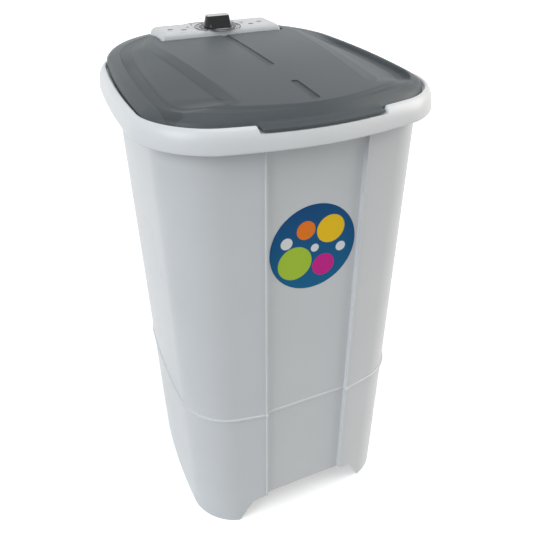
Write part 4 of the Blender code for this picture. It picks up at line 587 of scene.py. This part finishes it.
class WasherColours(bpy.types.PropertyGroup):
    """Colours of the machine's mouldings."""

    shell: FloatVectorProperty(
        name="Shell",
        description="Plastic of the cabinet",
        default=(0.655, 0.674, 0.692),
        subtype="COLOR",
        size=3,
    )
    # Painted light: the rim gets a lighter copy of the shell's white plastic, standing in for the top
    # light on its upward-facing roll.
    rim: FloatVectorProperty(
        name="Rim",
        description="Plastic of the rim, a little whiter than the cabinet",
        default=(0.760, 0.780, 0.796),
        subtype="COLOR",
        size=3,
    )
    lid: FloatVectorProperty(
        name="Lid",
        description="Smoked plastic of the lid",
        default=(0.105, 0.122, 0.132),
        subtype="COLOR",
        size=3,
    )
    panel: FloatVectorProperty(
        name="Panel",
        description="Plastic of the control panel",
        default=(0.62, 0.64, 0.655),
        subtype="COLOR",
        size=3,
    )
    label: FloatVectorProperty(
        name="Label",
        description="Ground of the round label",
        default=(0.006, 0.070, 0.215),
        subtype="COLOR",
        size=3,
    )


def wing_marks(inner, end):
    """Plain marks between the last feature and the corner."""
    places = [inner + (end - inner) * t for t in (0.88, 0.74, 0.60, 0.46, 0.32, 0.18)]
    return [(x, 0.0, x) for x in places]


def plain_marks(end):
    """A front edge with no features."""
    return [(end * t, 0.0, end * t) for t in (0.9, 0.75, 0.6, 0.45, 0.3, 0.15, 0.0)]


def recess_marks(end):
    """Front of the cabinet: wings, rounded steps and the flat floor between them."""
    wing = wing_marks(0.0870, end)
    step = [
        (0.0868, 0.0), (0.0865, -0.0008), (0.0858, -0.0016), (0.0848, -0.0019), (0.0838, -0.0015),
        (0.0832, -0.0004), (0.0828, 0.0018), (0.0825, 0.0046), (0.0818, 0.0060),
        (0.0802, RECESS_DEPTH),
    ]
    turn = [(x, depth, max(x, RIB_X)) for x, depth in step]
    floor = [(x, RECESS_DEPTH, RIB_X) for x in (0.070, 0.050, 0.025, 0.0)]
    return wing + turn + floor


def bead_bump(z):
    """How far the bead stands out of the cabinet at a height."""
    across = (z - BEAD_Z) / BEAD_HALF
    return BEAD_HEIGHT * max(0.0, 1 - across ** 4)


class WASHER_OT_cabinet(bpy.types.Operator):
    """Build the tapered cabinet skin with its sunk front, bead and arches"""

    bl_idname = "washer.cabinet"
    bl_label = "Cabinet"

    def execute(self, context):
        foot = [0.0, 0.03, 0.07, 0.14, 0.21, 0.27, 0.287]
        rise = (0.0013, 0.0024, 0.0030, 0.0034, BEAD_HALF)
        bead = [BEAD_Z - d for d in reversed(rise)] + [BEAD_Z] + [BEAD_Z + d for d in rise]
        levels = foot + bead + [0.300, 0.36, 0.46, 0.56, 0.66, 0.76, CABINET_HEIGHT]
        rings = [self.level(z, -bead_bump(z)) for z in levels]
        rings += [self.level(z, WALL) for z in (CABINET_HEIGHT, 0.29, 0.0)]
        skin = moulded(rings, closed=True)
        shell = finishes()["white_shell"]
        cabinet = add_piece("cabinet_skin", skin, "cabinet", shell, ("cabinet_shell",))
        arch = (
            (0.142, -0.02), (0.142, 0.0), (0.117, 0.0465), (0.113, 0.0525), (0.107, 0.0555),
            (0.083, 0.063),
        )
        tools = []
        for name, loss, low, high in (
            ("front", 0.0, -ARCH_REACH, 0.0), ("back", BACK_ARCH_LOSS, 0.0, ARCH_REACH)
        ):
            half = [(x - loss, z) for x, z in arch]
            outline = half + [(-x, z) for x, z in reversed(half)]
            rows = [[Vector((x, y, z)) for x, z in outline] for y in (low, high)]
            tools.append(as_object(name, moulded(rows)))
        for name, x, z, radius in (
            ("cord hole", 0.03, 0.340, 0.0110), ("drain hole", -0.03, 0.100, 0.0155)
        ):
            tools.append(as_object(name, wall_round(x, z, radius)))
        carve(cabinet, *tools)
        return {"FINISHED"}

    def level(self, z, inward):
        """The cabinet's outline at a height, drawn in by a distance."""
        return ring(inset(cabinet_plan(z), inward), flat(z), recess_marks, reach=1.0)


def wall_round(x, z, radius, overrun=0.02, steps=18):
    """A round bar through the cabinet's back wall."""
    plan = cabinet_plan(z)
    y = plan.back_y + plan.back_bow * (1 - (x / plan.back_half) ** 2)
    return moulded([
        [Vector((x + radius * cos(a), y + depth, z + radius * sin(a))) for a in turns_of(steps)]
        for depth in (-overrun, overrun)
    ])


def notch_marks(half, run):
    """Front of the rim or lid: one at the grip, zero outside it, with a rounded step between."""
    def lay(end):
        fit = min(1.0, end * 0.94 / (half + run * 0.3))
        ramp = []
        for t in (-0.25, -0.1, 0.1, 0.25, 0.4, 0.6, 0.75, 0.9, 1.1, 1.25):
            x = (half - run * t) * fit
            ramp.append((x, eased(t), x))
        inside = [x * fit for x in (0.086, 0.074, 0.062, 0.050, 0.038, 0.025, 0.012, 0.0)]
        return wing_marks(ramp[0][0], end) + ramp + [(x, 1.0, x) for x in inside]

    return lay


class WASHER_OT_rim(bpy.types.Operator):
    """Build the rolled rim, the ledge below the lid and the deck round the tub"""

    bl_idname = "washer.rim"
    bl_label = "Rim"

    def execute(self, context):
        marks = notch_marks(half=0.1035, run=0.005)
        notch_floor = RIM_CREST - 0.0095
        profile = [
            (0.0014, RIM_BOTTOM), (0.0004, 0.8203), (0.0, 0.8212), (0.0001, 0.8240), (0.0004, 0.8280),
            (0.0009, 0.8320), (0.0017, 0.8365), (0.0027, 0.8405), (0.0040, 0.8443), (0.0055, 0.8473),
            (0.0072, 0.8499), (0.0089, 0.8518), (0.0106, 0.8530), (0.0122, RIM_CREST), (0.0134, 0.8533),
            (0.0142, 0.8524), (0.0147, 0.8508), (0.0150, 0.8480), (0.0152, LID_SEAT),
        ]
        rings = [
            ring(parallel(RIM_PLAN, d), flat(z), marks, fall=max(0.0, z - notch_floor)) for d, z in profile
        ]
        rings += [ring(parallel(RIM_PLAN, d), flat(DECK_TOP), marks) for d in (0.0158, 0.020)]
        mouth, throat = inset(OPENING_PLAN, 0.0033), inset(OPENING_PLAN, 0.0009)
        lip, under = 0.836, DECK_TOP - 0.0030
        rings += [ring(mouth, flat(z), marks) for z in (DECK_TOP, lip)]
        rings += [ring(throat, flat(z), marks) for z in (lip, under)]
        inner = ((0.0166, under), (0.0090, 0.8430), (0.0030, 0.828), (0.0030, RIM_BOTTOM))
        rings += [ring(parallel(RIM_PLAN, d), flat(z), marks) for d, z in inner]
        colours = context.scene.washer_colours
        # Painted light: a lighter copy of the white plastic, standing in for the top light on the rim.
        white = plastic("white rim plastic", colours.rim, 0.34, contrast=0.035)
        skin = moulded(rings, closed=True)
        rim = add_piece("rim_skin", skin, "cabinet", white, ("top_frame",))
        hole_radius, hole_place = 0.008, (0.022, 0.178)
        hole = turned([(hole_radius, RIM_BOTTOM), (hole_radius, 0.87)], hole_place, 18)
        carve(rim, as_object("wire hole", hole))
        return {"FINISHED"}


def lid_share(y):
    """How far back a depth lies between the lid's front and back edges."""
    return (y - LID_FRONT_Y) / (LID_BACK_Y - LID_FRONT_Y)


def plateau(y):
    """Height of the lid's middle: it rises towards the panel and swells a little on the way."""
    middle, reach, height = -0.045, 0.195, 0.0040
    swell = max(0.0, 1 - ((y - middle) / reach) ** 2)
    return PLATEAU_FRONT + (PLATEAU_BACK - PLATEAU_FRONT) * lid_share(y) + height * swell


def lid_edge(y):
    """Height of the lid's outer edge, thin along the front half and high at the hinges."""
    thin, rise = 0.0034, 0.0236
    return LID_SEAT + thin + rise * max(0.0, lid_share(y)) ** 2


def eased(share):
    """A share that starts and ends softly."""
    held = min(1.0, max(0.0, share))
    return held * held * (3 - 2 * held)


def channel_gate(y):
    """One inside the length of the side channels, zero outside, with a step at the front."""
    front, front_run, back, back_run = -0.202, 0.007, 0.150, 0.110
    return eased((y - front) / front_run) * eased((back - y) / back_run)


def front_gate(y):
    """One along the lid's front edge, zero along its sides."""
    start, run = -0.150, 0.072
    return eased((start - y) / run)


def lid_level(share, dip, rise):
    """Height of one outline: along the sides by share and channel dip, along the front by rise."""
    shoulder, facet_drop = 0.0020, 0.0105

    def at(y):
        edge = lid_edge(y) + shoulder
        side_zone = plateau(y) - facet_drop
        side = edge + (side_zone - edge) * share - CHANNEL_DIP * dip * channel_gate(y)
        front = edge + (plateau(y) - edge) * rise
        return side + (front - side) * front_gate(y)

    return at


def lid_rows(lower, marks, grip_reach):
    """The outlines of the lid's skin from its shoulder to its middle."""
    front, back = 0.0360, 0.0340
    facet = RIM_PLAN._replace(
        front_half=0.126, back_half=0.157, front_y=RIM_PLAN.front_y + front - 0.0012,
        back_y=RIM_PLAN.back_y - back - 0.0025, side_bow=0.0015, front_round=0.020, back_round=0.126,
    )
    middle = facet._replace(
        front_half=0.104, back_half=0.146, front_y=facet.front_y + 0.0012, back_y=facet.back_y - 0.0025,
        front_round=0.010,
    )
    heart = middle._replace(
        front_half=0.064, back_half=0.088, front_y=middle.front_y + 0.0010, back_y=middle.back_y - 0.0020,
        front_round=0.008, back_round=0.076,
    )
    core = heart._replace(
        front_half=0.0030, back_half=0.0030, front_y=heart.front_y + 0.0010, back_y=heart.back_y - 0.0020,
        front_round=0.0008, back_round=0.0010,
    )
    lines = LID_LINE_PLAN
    rows = [
        (parallel(RIM_PLAN, 0.0195), lid_level(0.0, 0.0, 0.0), -0.12),
        (parallel(RIM_PLAN, 0.0215), lid_level(0.22, 0.0, 0.18), 0.0),
        (inset(lines, 0.0255, 0.0235), lid_level(0.45, 0.0, 0.33), 0.0),
        (inset(lines, 0.0310, 0.0258), lid_level(0.66, 0.0, 0.49), 0.0),
        (inset(lines, 0.0372, 0.0280), lid_level(0.80, 0.0, 0.63), 0.0),
        (inset(lines, CHANNEL_START, 0.0292), lid_level(0.72, 0.9, 0.71), 0.0),
        (inset(lines, CHANNEL_END, 0.0312, back - 0.0030), lid_level(0.76, 0.9, 0.83), 0.0),
        (inset(lines, 0.0625, 0.0330, back - 0.0015), lid_level(0.84, 0.72, 0.94), 0.0),
        (inset(lines, 0.0700, 0.0340, back), lid_level(0.95, 0.60, 1.0), 0.0),
        (facet, lambda y: plateau(y) - 0.0030 * (1 - front_gate(y)), 0.0),
        (middle, plateau, 0.0),
        (heart, plateau, 0.0),
        (core, plateau, 0.0),
    ]
    return [
        ring(plan, lambda y, f=level: f(y) - lower, marks, reach=share * grip_reach)
        for plan, level, share in rows
    ]


def groove(low_y, high_y, half=GROOVE_HALF, depth=GROOVE_DEPTH):
    """A slot with round ends that follows the slope of the lid's middle."""
    turn = shares(0.06, pi / 2, 8)
    stations = [(low_y + half * (1 - cos(a)), half * sin(a)) for a in turn]
    stations += [(y, half) for y in shares(low_y + half, high_y - half, 20)[1:-1]]
    stations += [(high_y - half * (1 - cos(a)), half * sin(a)) for a in reversed(turn)]
    rows = []
    for y, width in stations:
        side = [(width, 0.01), (width, 0.0), (width * 0.93, -depth * 0.8), (width * 0.78, -depth)]
        outline = side + [(-x, drop) for x, drop in reversed(side)]
        rows.append([Vector((x, y, plateau(y) + drop)) for x, drop in outline])
    return moulded(rows)


class WASHER_OT_lid(bpy.types.Operator):
    """Build the smoked lid with its grip, grooves, side channels and panel window"""

    bl_idname = "washer.lid"
    bl_label = "Lid"

    def execute(self, context):
        marks = notch_marks(half=0.0978, run=0.0025)
        reach = 0.0135
        inner = list(reversed(lid_rows(LID_WALL, marks, 0.0)[3:]))
        inside = parallel(RIM_PLAN, LID_INSET + LID_WALL)
        inner += [ring(inside, level, marks) for level in (lambda y: lid_edge(y) - 0.0010, flat(LID_SEAT))]
        edge = parallel(RIM_PLAN, LID_INSET)
        outer = [ring(edge, level, marks, reach=-reach) for level in (flat(LID_SEAT), lid_edge)]
        outer += lid_rows(0.0, marks, reach)
        skin = moulded(inner + softened(outer, CREASE_RADIUS))
        smoke = finishes()["smoked_lid"]
        for side in (-1, 1):
            self.build_ear(side, smoke)
        lid = add_piece("lid_skin", skin, "lid", smoke, ("lid",))
        gap, gap_behind = 0.003, 0.007
        window = inset(PANEL_PLAN, -gap, back=-gap_behind)
        carve(
            lid,
            as_object("window", moulded([ring(window, flat(z), plain_marks) for z in (0.82, 0.92)])),
            as_object("long groove", groove(*LONG_GROOVE)),
            as_object("short groove", groove(*SHORT_GROOVE)),
            *self.swing_tools(),
        )
        return {"FINISHED"}

    def swing_tools(self):
        """Blocks that open the lid's back skirt over the deck and at the two hinge brackets."""
        deck_gap, slot_half, slot_start, slot_top = 0.0008, 0.0082, 0.0046, 0.912
        swing = HINGE.z - DECK_TOP - deck_gap
        roof = HINGE.z - sqrt(swing ** 2 - (LID_BACK_Y - HINGE.y) ** 2)
        half = RIM_PLAN.back_half
        tools = [as_object("swing room", block((-half, HINGE.y, TOOL_LOW), (half, TOOL_BACK, roof)))]
        for x in (-HINGE_X, HINGE_X):
            low = (x - slot_half, HINGE.y + slot_start, TOOL_LOW)
            tools.append(as_object("hinge slot", block(low, (x + slot_half, TOOL_BACK, slot_top))))
        return tools

    def build_ear(self, side, material):
        """A hinge ear under the lid's back, round about its pin."""
        radius, half = 0.0068, 0.002
        turns = shares(pi, 2 * pi, 16)
        outline = [(HINGE.y + radius * cos(a), HINGE.z + radius * sin(a)) for a in turns]
        outline += [(HINGE.y + radius, 0.8760), (HINGE.y, 0.8780), (HINGE.y - radius, 0.8860)]
        rows = [[Vector((side * HINGE_X + x, y, z)) for y, z in outline] for x in (-half, half)]
        name = "lid_ear_left" if side < 0 else "lid_ear_right"
        add_piece(name, moulded(rows), "lid", material)


class WASHER_OT_panel(bpy.types.Operator):
    """Build the control panel with its dial ring, ticks, numbers and marks"""

    bl_idname = "washer.panel"
    bl_label = "Control panel"

    def execute(self, context):
        profile = [
            (0.0, LID_SEAT), (0.0, 0.8800), (0.0003, 0.8850), (0.0012, 0.8892), (0.0026, 0.8925),
            (0.0045, 0.8948), (0.0068, PANEL_TOP), (0.0098, PANEL_TOP), (0.0101, 0.8953), (0.0109, 0.8953),
            (0.0112, PANEL_TOP),
        ]
        rings = [ring(inset(PANEL_PLAN, d), flat(z), plain_marks) for d, z in profile]
        material = finishes()["panel_white"]
        add_piece("panel_skin", moulded(rings), "cabinet", material, ("control_panel",))
        dark = plastic("dial grey plastic", (0.040, 0.044, 0.048), 0.35)
        low, high = PANEL_TOP + 0.0001, PANEL_TOP + 0.0008
        # The second ring is a thin dark line at the edge of the dial's shallow well: partly its outline,
        # partly painted shade of that edge.
        for name, inner, outer, replaced in (
            ("dial_collar", 0.0290, 0.0345, ("dial_ring",)), ("dial_line", 0.0418, 0.0428, ())
        ):
            section = [(inner, low), (inner, high), (outer, high), (outer + 0.0002, low)]
            round_piece = turned(section, (0.0, KNOB_Y), closed=True)
            add_piece(name, round_piece, "cabinet", dark, replaced)
        self.scale(dark, high)
        return {"FINISHED"}

    def scale(self, material, top):
        """Ticks and plain numbers round the dial, and two dashes on each side of it."""
        tick_start, tick_width, dash_length, dash_width = 0.0364, 0.0007, 0.0090, 0.0016
        for index in range(16):
            angle = radians(-60.0 + 20.0 * index)
            out = Vector((cos(angle), sin(angle), 0.0))
            length = 0.0042 if index % 3 == 0 else 0.0026
            middle = Vector((0.0, KNOB_Y, top)) + out * (tick_start + length / 2)
            self.bar(f"dial_tick_{index + 1}", middle, angle, length, tick_width, material)
        for side, word in ((-1, "left"), (1, "right")):
            for number, (x, y) in enumerate(((0.066, 0.158), (0.088, 0.170)), 1):
                middle = Vector((side * x, y, top))
                self.bar(f"panel_dash_{word}_{number}", middle, 0.0, dash_length, dash_width, material)
        places = ((-0.053, 0.176), (-0.040, 0.193), (0.040, 0.193), (0.053, 0.176))
        for number, (x, y) in enumerate(places):
            text = bpy.data.curves.new(f"dial_number_{number}", "FONT")
            text.body = str(number * 5)
            text.size = 0.0085
            text.extrude = 0.0001
            text.align_x = text.align_y = "CENTER"
            made = bpy.data.objects.new(text.name, text)
            mesh = bpy.data.meshes.new_from_object(made)
            bpy.data.objects.remove(made)
            bm = bmesh.new()
            bm.from_mesh(mesh)
            bmesh.ops.translate(bm, vec=(x, y, top - 0.0002), verts=bm.verts)
            add_piece(f"dial_number_{number + 1}", bm, "cabinet", material, weighted=False)

    def bar(self, name, middle, angle, length, width, material):
        """A thin printed bar on the panel."""
        centre = middle - Vector((0.0, 0.0, PRINT_THICKNESS / 2))
        turn = Matrix.Translation(centre) @ Matrix.Rotation(angle, 4, "Z")
        size = Matrix.Diagonal((length, width, PRINT_THICKNESS, 1.0))
        bm = bmesh.new()
        bmesh.ops.create_cube(bm, size=1.0, matrix=turn @ size)
        add_piece(name, bm, "cabinet", material, weighted=False)


class WASHER_OT_knob(bpy.types.Operator):
    """Build the timer knob: a cone cut into a grip, with a silver top"""

    bl_idname = "washer.knob"
    bl_label = "Timer knob"

    def execute(self, context):
        centre = (0.0, KNOB_Y)
        made = finishes()
        profile = [(0.0265, KNOB_BASE), (0.0265, KNOB_SHOULDER), (0.0258, 0.8990), (0.0215, KNOB_HEAD)]
        knob = self.cut(turned(profile, centre, soft=0.0004))
        add_piece("knob_body", knob, "timer_knob", made["knob_black"], ("timer_knob",))
        profile = [(0.0215, 0.9159), (0.0213, 0.9167), (0.0207, 0.9173), (0.0197, 0.9175)]
        cap = self.cut(turned(profile, centre))
        add_piece("knob_top", cap, "timer_knob", made["knob_silver"], ("knob_cap",))
        return {"FINISHED"}

    def cut(self, bm):
        """Slope the front and back of the cone."""
        foot_reach, head_reach = 0.0190, 0.0070
        for side in (-1, 1):
            foot = Vector((0.0, KNOB_Y + side * foot_reach, KNOB_SHOULDER))
            head = Vector((0.0, KNOB_Y + side * head_reach, KNOB_HEAD))
            normal = (head - foot).cross(Vector((side, 0.0, 0.0))).normalized()
            if normal.y * side < 0:
                normal = -normal
            geom = bm.verts[:] + bm.edges[:] + bm.faces[:]
            made = bmesh.ops.bisect_plane(bm, geom=geom, plane_co=foot, plane_no=normal, clear_outer=True)
            edges = [e for e in made["geom_cut"] if isinstance(e, bmesh.types.BMEdge)]
            bmesh.ops.edgeloop_fill(bm, edges=edges)
        bmesh.ops.recalc_face_normals(bm, faces=bm.faces)
        return bm


def recess_face(z):
    """Depth of the sunk front's floor at a height."""
    return front_depth(cabinet_plan(z), RIB_X) + RECESS_DEPTH


class WASHER_OT_label(bpy.types.Operator):
    """Lay a plain round label with bubbles on the sunk front"""

    bl_idname = "washer.label"
    bl_label = "Round label"

    def execute(self, context):
        sizes = context.scene.washer_sizes
        colours = context.scene.washer_colours
        z, r = sizes.label_height, sizes.label_radius
        low = Vector((0.0, recess_face(z - r), z - r))
        high = Vector((0.0, recess_face(z + r), z + r))
        up = (high - low).normalized()
        out = up.cross(Vector((1.0, 0.0, 0.0)))
        if out.y > 0:
            out = -out
        middle = (low + high) / 2
        rows = []
        for radius, lift in ((r, 0.0001), (r, 0.00035), (r - 0.0004, 0.0005)):
            rows.append([
                middle + Vector((radius * cos(a), 0.0, 0.0)) + up * radius * sin(a) + out * lift
                for a in turns_of(128)
            ])
        material = self.paint(colours.label, middle, r)
        add_piece("round_label", moulded(rows), "cabinet", material, angle=60.0)
        return {"FINISHED"}

    def paint(self, ground, middle, radius):
        """Blue ground that darkens upwards, with plain round bubbles over it."""
        material, tree, shader = shader_of("round label print")
        inputs = {
            "Vector": add_node(tree, "TexCoord").outputs["Object"],
            "Location": (-middle.x / radius, 0.0, -middle.z / radius),
            "Scale": (1 / radius, 0.0, 1 / radius),
        }
        spot = add_node(tree, "Mapping", inputs, vector_type="POINT").outputs["Vector"]
        height = add_node(tree, "SeparateXYZ", {"Vector": spot}).outputs["Z"]
        low = (ground[0], ground[1] * 1.9, ground[2] * 1.35, 1.0)
        colour = mixed(tree, mapped(tree, height, -1.0, 1.0), low, (*ground, 1.0))
        white = (0.80, 0.82, 0.84)
        bubbles = (
            (-0.42, -0.30, 0.40, (0.42, 0.62, 0.05)),
            (0.40, 0.36, 0.33, (0.93, 0.60, 0.02)),
            (0.26, -0.48, 0.27, (0.62, 0.02, 0.28)),
            (-0.18, 0.44, 0.22, (0.88, 0.22, 0.02)),
            (-0.62, 0.22, 0.14, white),
            (0.66, -0.12, 0.12, white),
            (0.04, -0.02, 0.10, white),
        )
        for x, z, size, tint in bubbles:
            gap = add_node(tree, "VectorMath", {0: spot, 1: (x, 0.0, z)}, operation="DISTANCE")
            disc = mapped(tree, gap.outputs["Value"], size, size - 0.012)
            colour = mixed(tree, disc, colour, (*tint, 1.0))
        tree.links.new(colour, shader.inputs["Base Color"])
        shader.inputs["Roughness"].default_value = 0.45
        shader.inputs["Specular IOR Level"].default_value = 0.12
        return material


class WASHER_OT_works(bpy.types.Operator):
    """Give the tub, the drive, the motor and the other inner pieces their finishes"""

    bl_idname = "washer.works"
    bl_label = "Inner works"

    def execute(self, context):
        made = finishes()
        for part in frame["record"]["subparts"]:
            obj = frame["nodes"][part["node"]]
            obj.data.materials.clear()
            obj.data.materials.append(made[part["material_slot"]])
        return {"FINISHED"}


class WASHER_OT_stage(bpy.types.Operator):
    """Set the floor, the lamps and the camera"""

    bl_idname = "washer.stage"
    bl_label = "Stage"

    def execute(self, context):
        scene = context.scene
        scene.view_settings.view_transform = "Standard"
        bm = bmesh.new()
        bmesh.ops.create_grid(bm, x_segments=1, y_segments=1, size=30.0)
        floor = as_object("floor", bm)
        material, tree, shader = shader_of("pale floor")
        shader.inputs["Roughness"].default_value = 0.9
        shader.inputs["Specular IOR Level"].default_value = 0.0
        shader.inputs["Emission Color"].default_value = (1.0, 1.0, 1.0, 1.0)
        seen = self.seen_directly(tree)
        tinted(tree, seen, (0.50, 0.50, 0.50), (0.93, 0.93, 0.93), shader.inputs["Base Color"])
        varied(tree, seen, 0.0, 0.42, shader.inputs["Emission Strength"])
        floor.data.materials.append(material)

        world = bpy.data.worlds.new("soft studio")
        scene.world = world
        world.use_nodes = True
        tree = world.node_tree
        back = tree.nodes["Background"]
        seen = self.seen_directly(tree)
        tinted(tree, seen, (0.96, 0.98, 1.0), (1.0, 1.0, 1.0), back.inputs["Color"])
        varied(tree, seen, 0.24, 1.0, back.inputs["Strength"])

        self.sun("left soft lamp", (-72.0, 30.0), 1.60, (0.92, 0.97, 1.0), 40.0)
        self.sun("right soft lamp", (76.0, 20.0), 1.70, (1.0, 0.955, 0.88), 40.0)
        self.sun("top soft lamp", (0.0, 88.0), 0.80, (1.0, 1.0, 1.0), 60.0)

        camera = bpy.data.objects.new("camera", bpy.data.cameras.new("camera"))
        scene.collection.objects.link(camera)
        place = Vector((-0.4234, -0.9966, 1.1385))
        right = Vector((0.9076, -0.4199, -0.0019)).normalized()
        ahead = Vector((0.3497, 0.7586, -0.5498)).normalized()
        up = right.cross(ahead).normalized()
        turn = Matrix((right, up, -ahead)).transposed()
        camera.matrix_world = Matrix.Translation(place) @ turn.to_4x4()
        camera.data.sensor_width = 36.0
        camera.data.lens = 42.17
        camera.data.shift_x = -0.0102
        camera.data.shift_y = 0.0269
        scene.camera = camera
        return {"FINISHED"}

    def seen_directly(self, tree):
        """One for what the camera sees, also in gloss or through clear pieces, zero for light."""
        path = add_node(tree, "LightPath").outputs
        total = path["Is Camera Ray"]
        for label in ("Is Glossy Ray", "Is Transmission Ray"):
            total = calculated(tree, "MAXIMUM", total, path[label])
        return total

    def sun(self, name, place, strength, colour, spread):
        """A wide soft lamp; its place is degrees round from the front and above the horizon."""
        lamp = bpy.data.lights.new(name, "SUN")
        lamp.energy = strength
        lamp.color = colour
        lamp.angle = radians(spread)
        obj = bpy.data.objects.new(name, lamp)
        bpy.context.scene.collection.objects.link(obj)
        around, above = radians(place[0]), radians(place[1])
        back = Vector((sin(around) * cos(above), -cos(around) * cos(above), sin(above)))
        obj.matrix_world = back.to_track_quat("Z", "Y").to_matrix().to_4x4()


class WASHER_PT_pieces(bpy.types.Panel):
    """The machine's pieces and sizes"""

    bl_idname = "WASHER_PT_pieces"
    bl_label = "Washing machine"
    bl_space_type = "VIEW_3D"
    bl_region_type = "UI"
    bl_category = "Washer"

    def draw(self, context):
        sizes, colours = context.scene.washer_sizes, context.scene.washer_colours
        for group in (sizes, colours):
            for name in group.__annotations__:
                self.layout.prop(group, name)
        for operator in OPERATORS:
            self.layout.operator(operator.bl_idname)


OPERATORS = (
    WASHER_OT_works,
    WASHER_OT_cabinet,
    WASHER_OT_rim,
    WASHER_OT_panel,
    WASHER_OT_knob,
    WASHER_OT_lid,
    WASHER_OT_label,
    WASHER_OT_stage,
)
CLASSES = (WasherSizes, WasherColours, *OPERATORS, WASHER_PT_pieces)


def register():
    for cls in CLASSES:
        bpy.utils.register_class(cls)
    bpy.types.Scene.washer_sizes = PointerProperty(type=WasherSizes)
    bpy.types.Scene.washer_colours = PointerProperty(type=WasherColours)


def unregister():
    del bpy.types.Scene.washer_colours
    del bpy.types.Scene.washer_sizes
    for cls in reversed(CLASSES):
        bpy.utils.unregister_class(cls)


def main():
    """Build every piece over the frame."""
    register()
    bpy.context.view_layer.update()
    bpy.ops.washer.works()
    bpy.ops.washer.cabinet()
    bpy.ops.washer.rim()
    bpy.ops.washer.panel()
    bpy.ops.washer.knob()
    bpy.ops.washer.lid()
    bpy.ops.washer.label()
    bpy.ops.washer.stage()


if __name__ == "__main__":
    main()
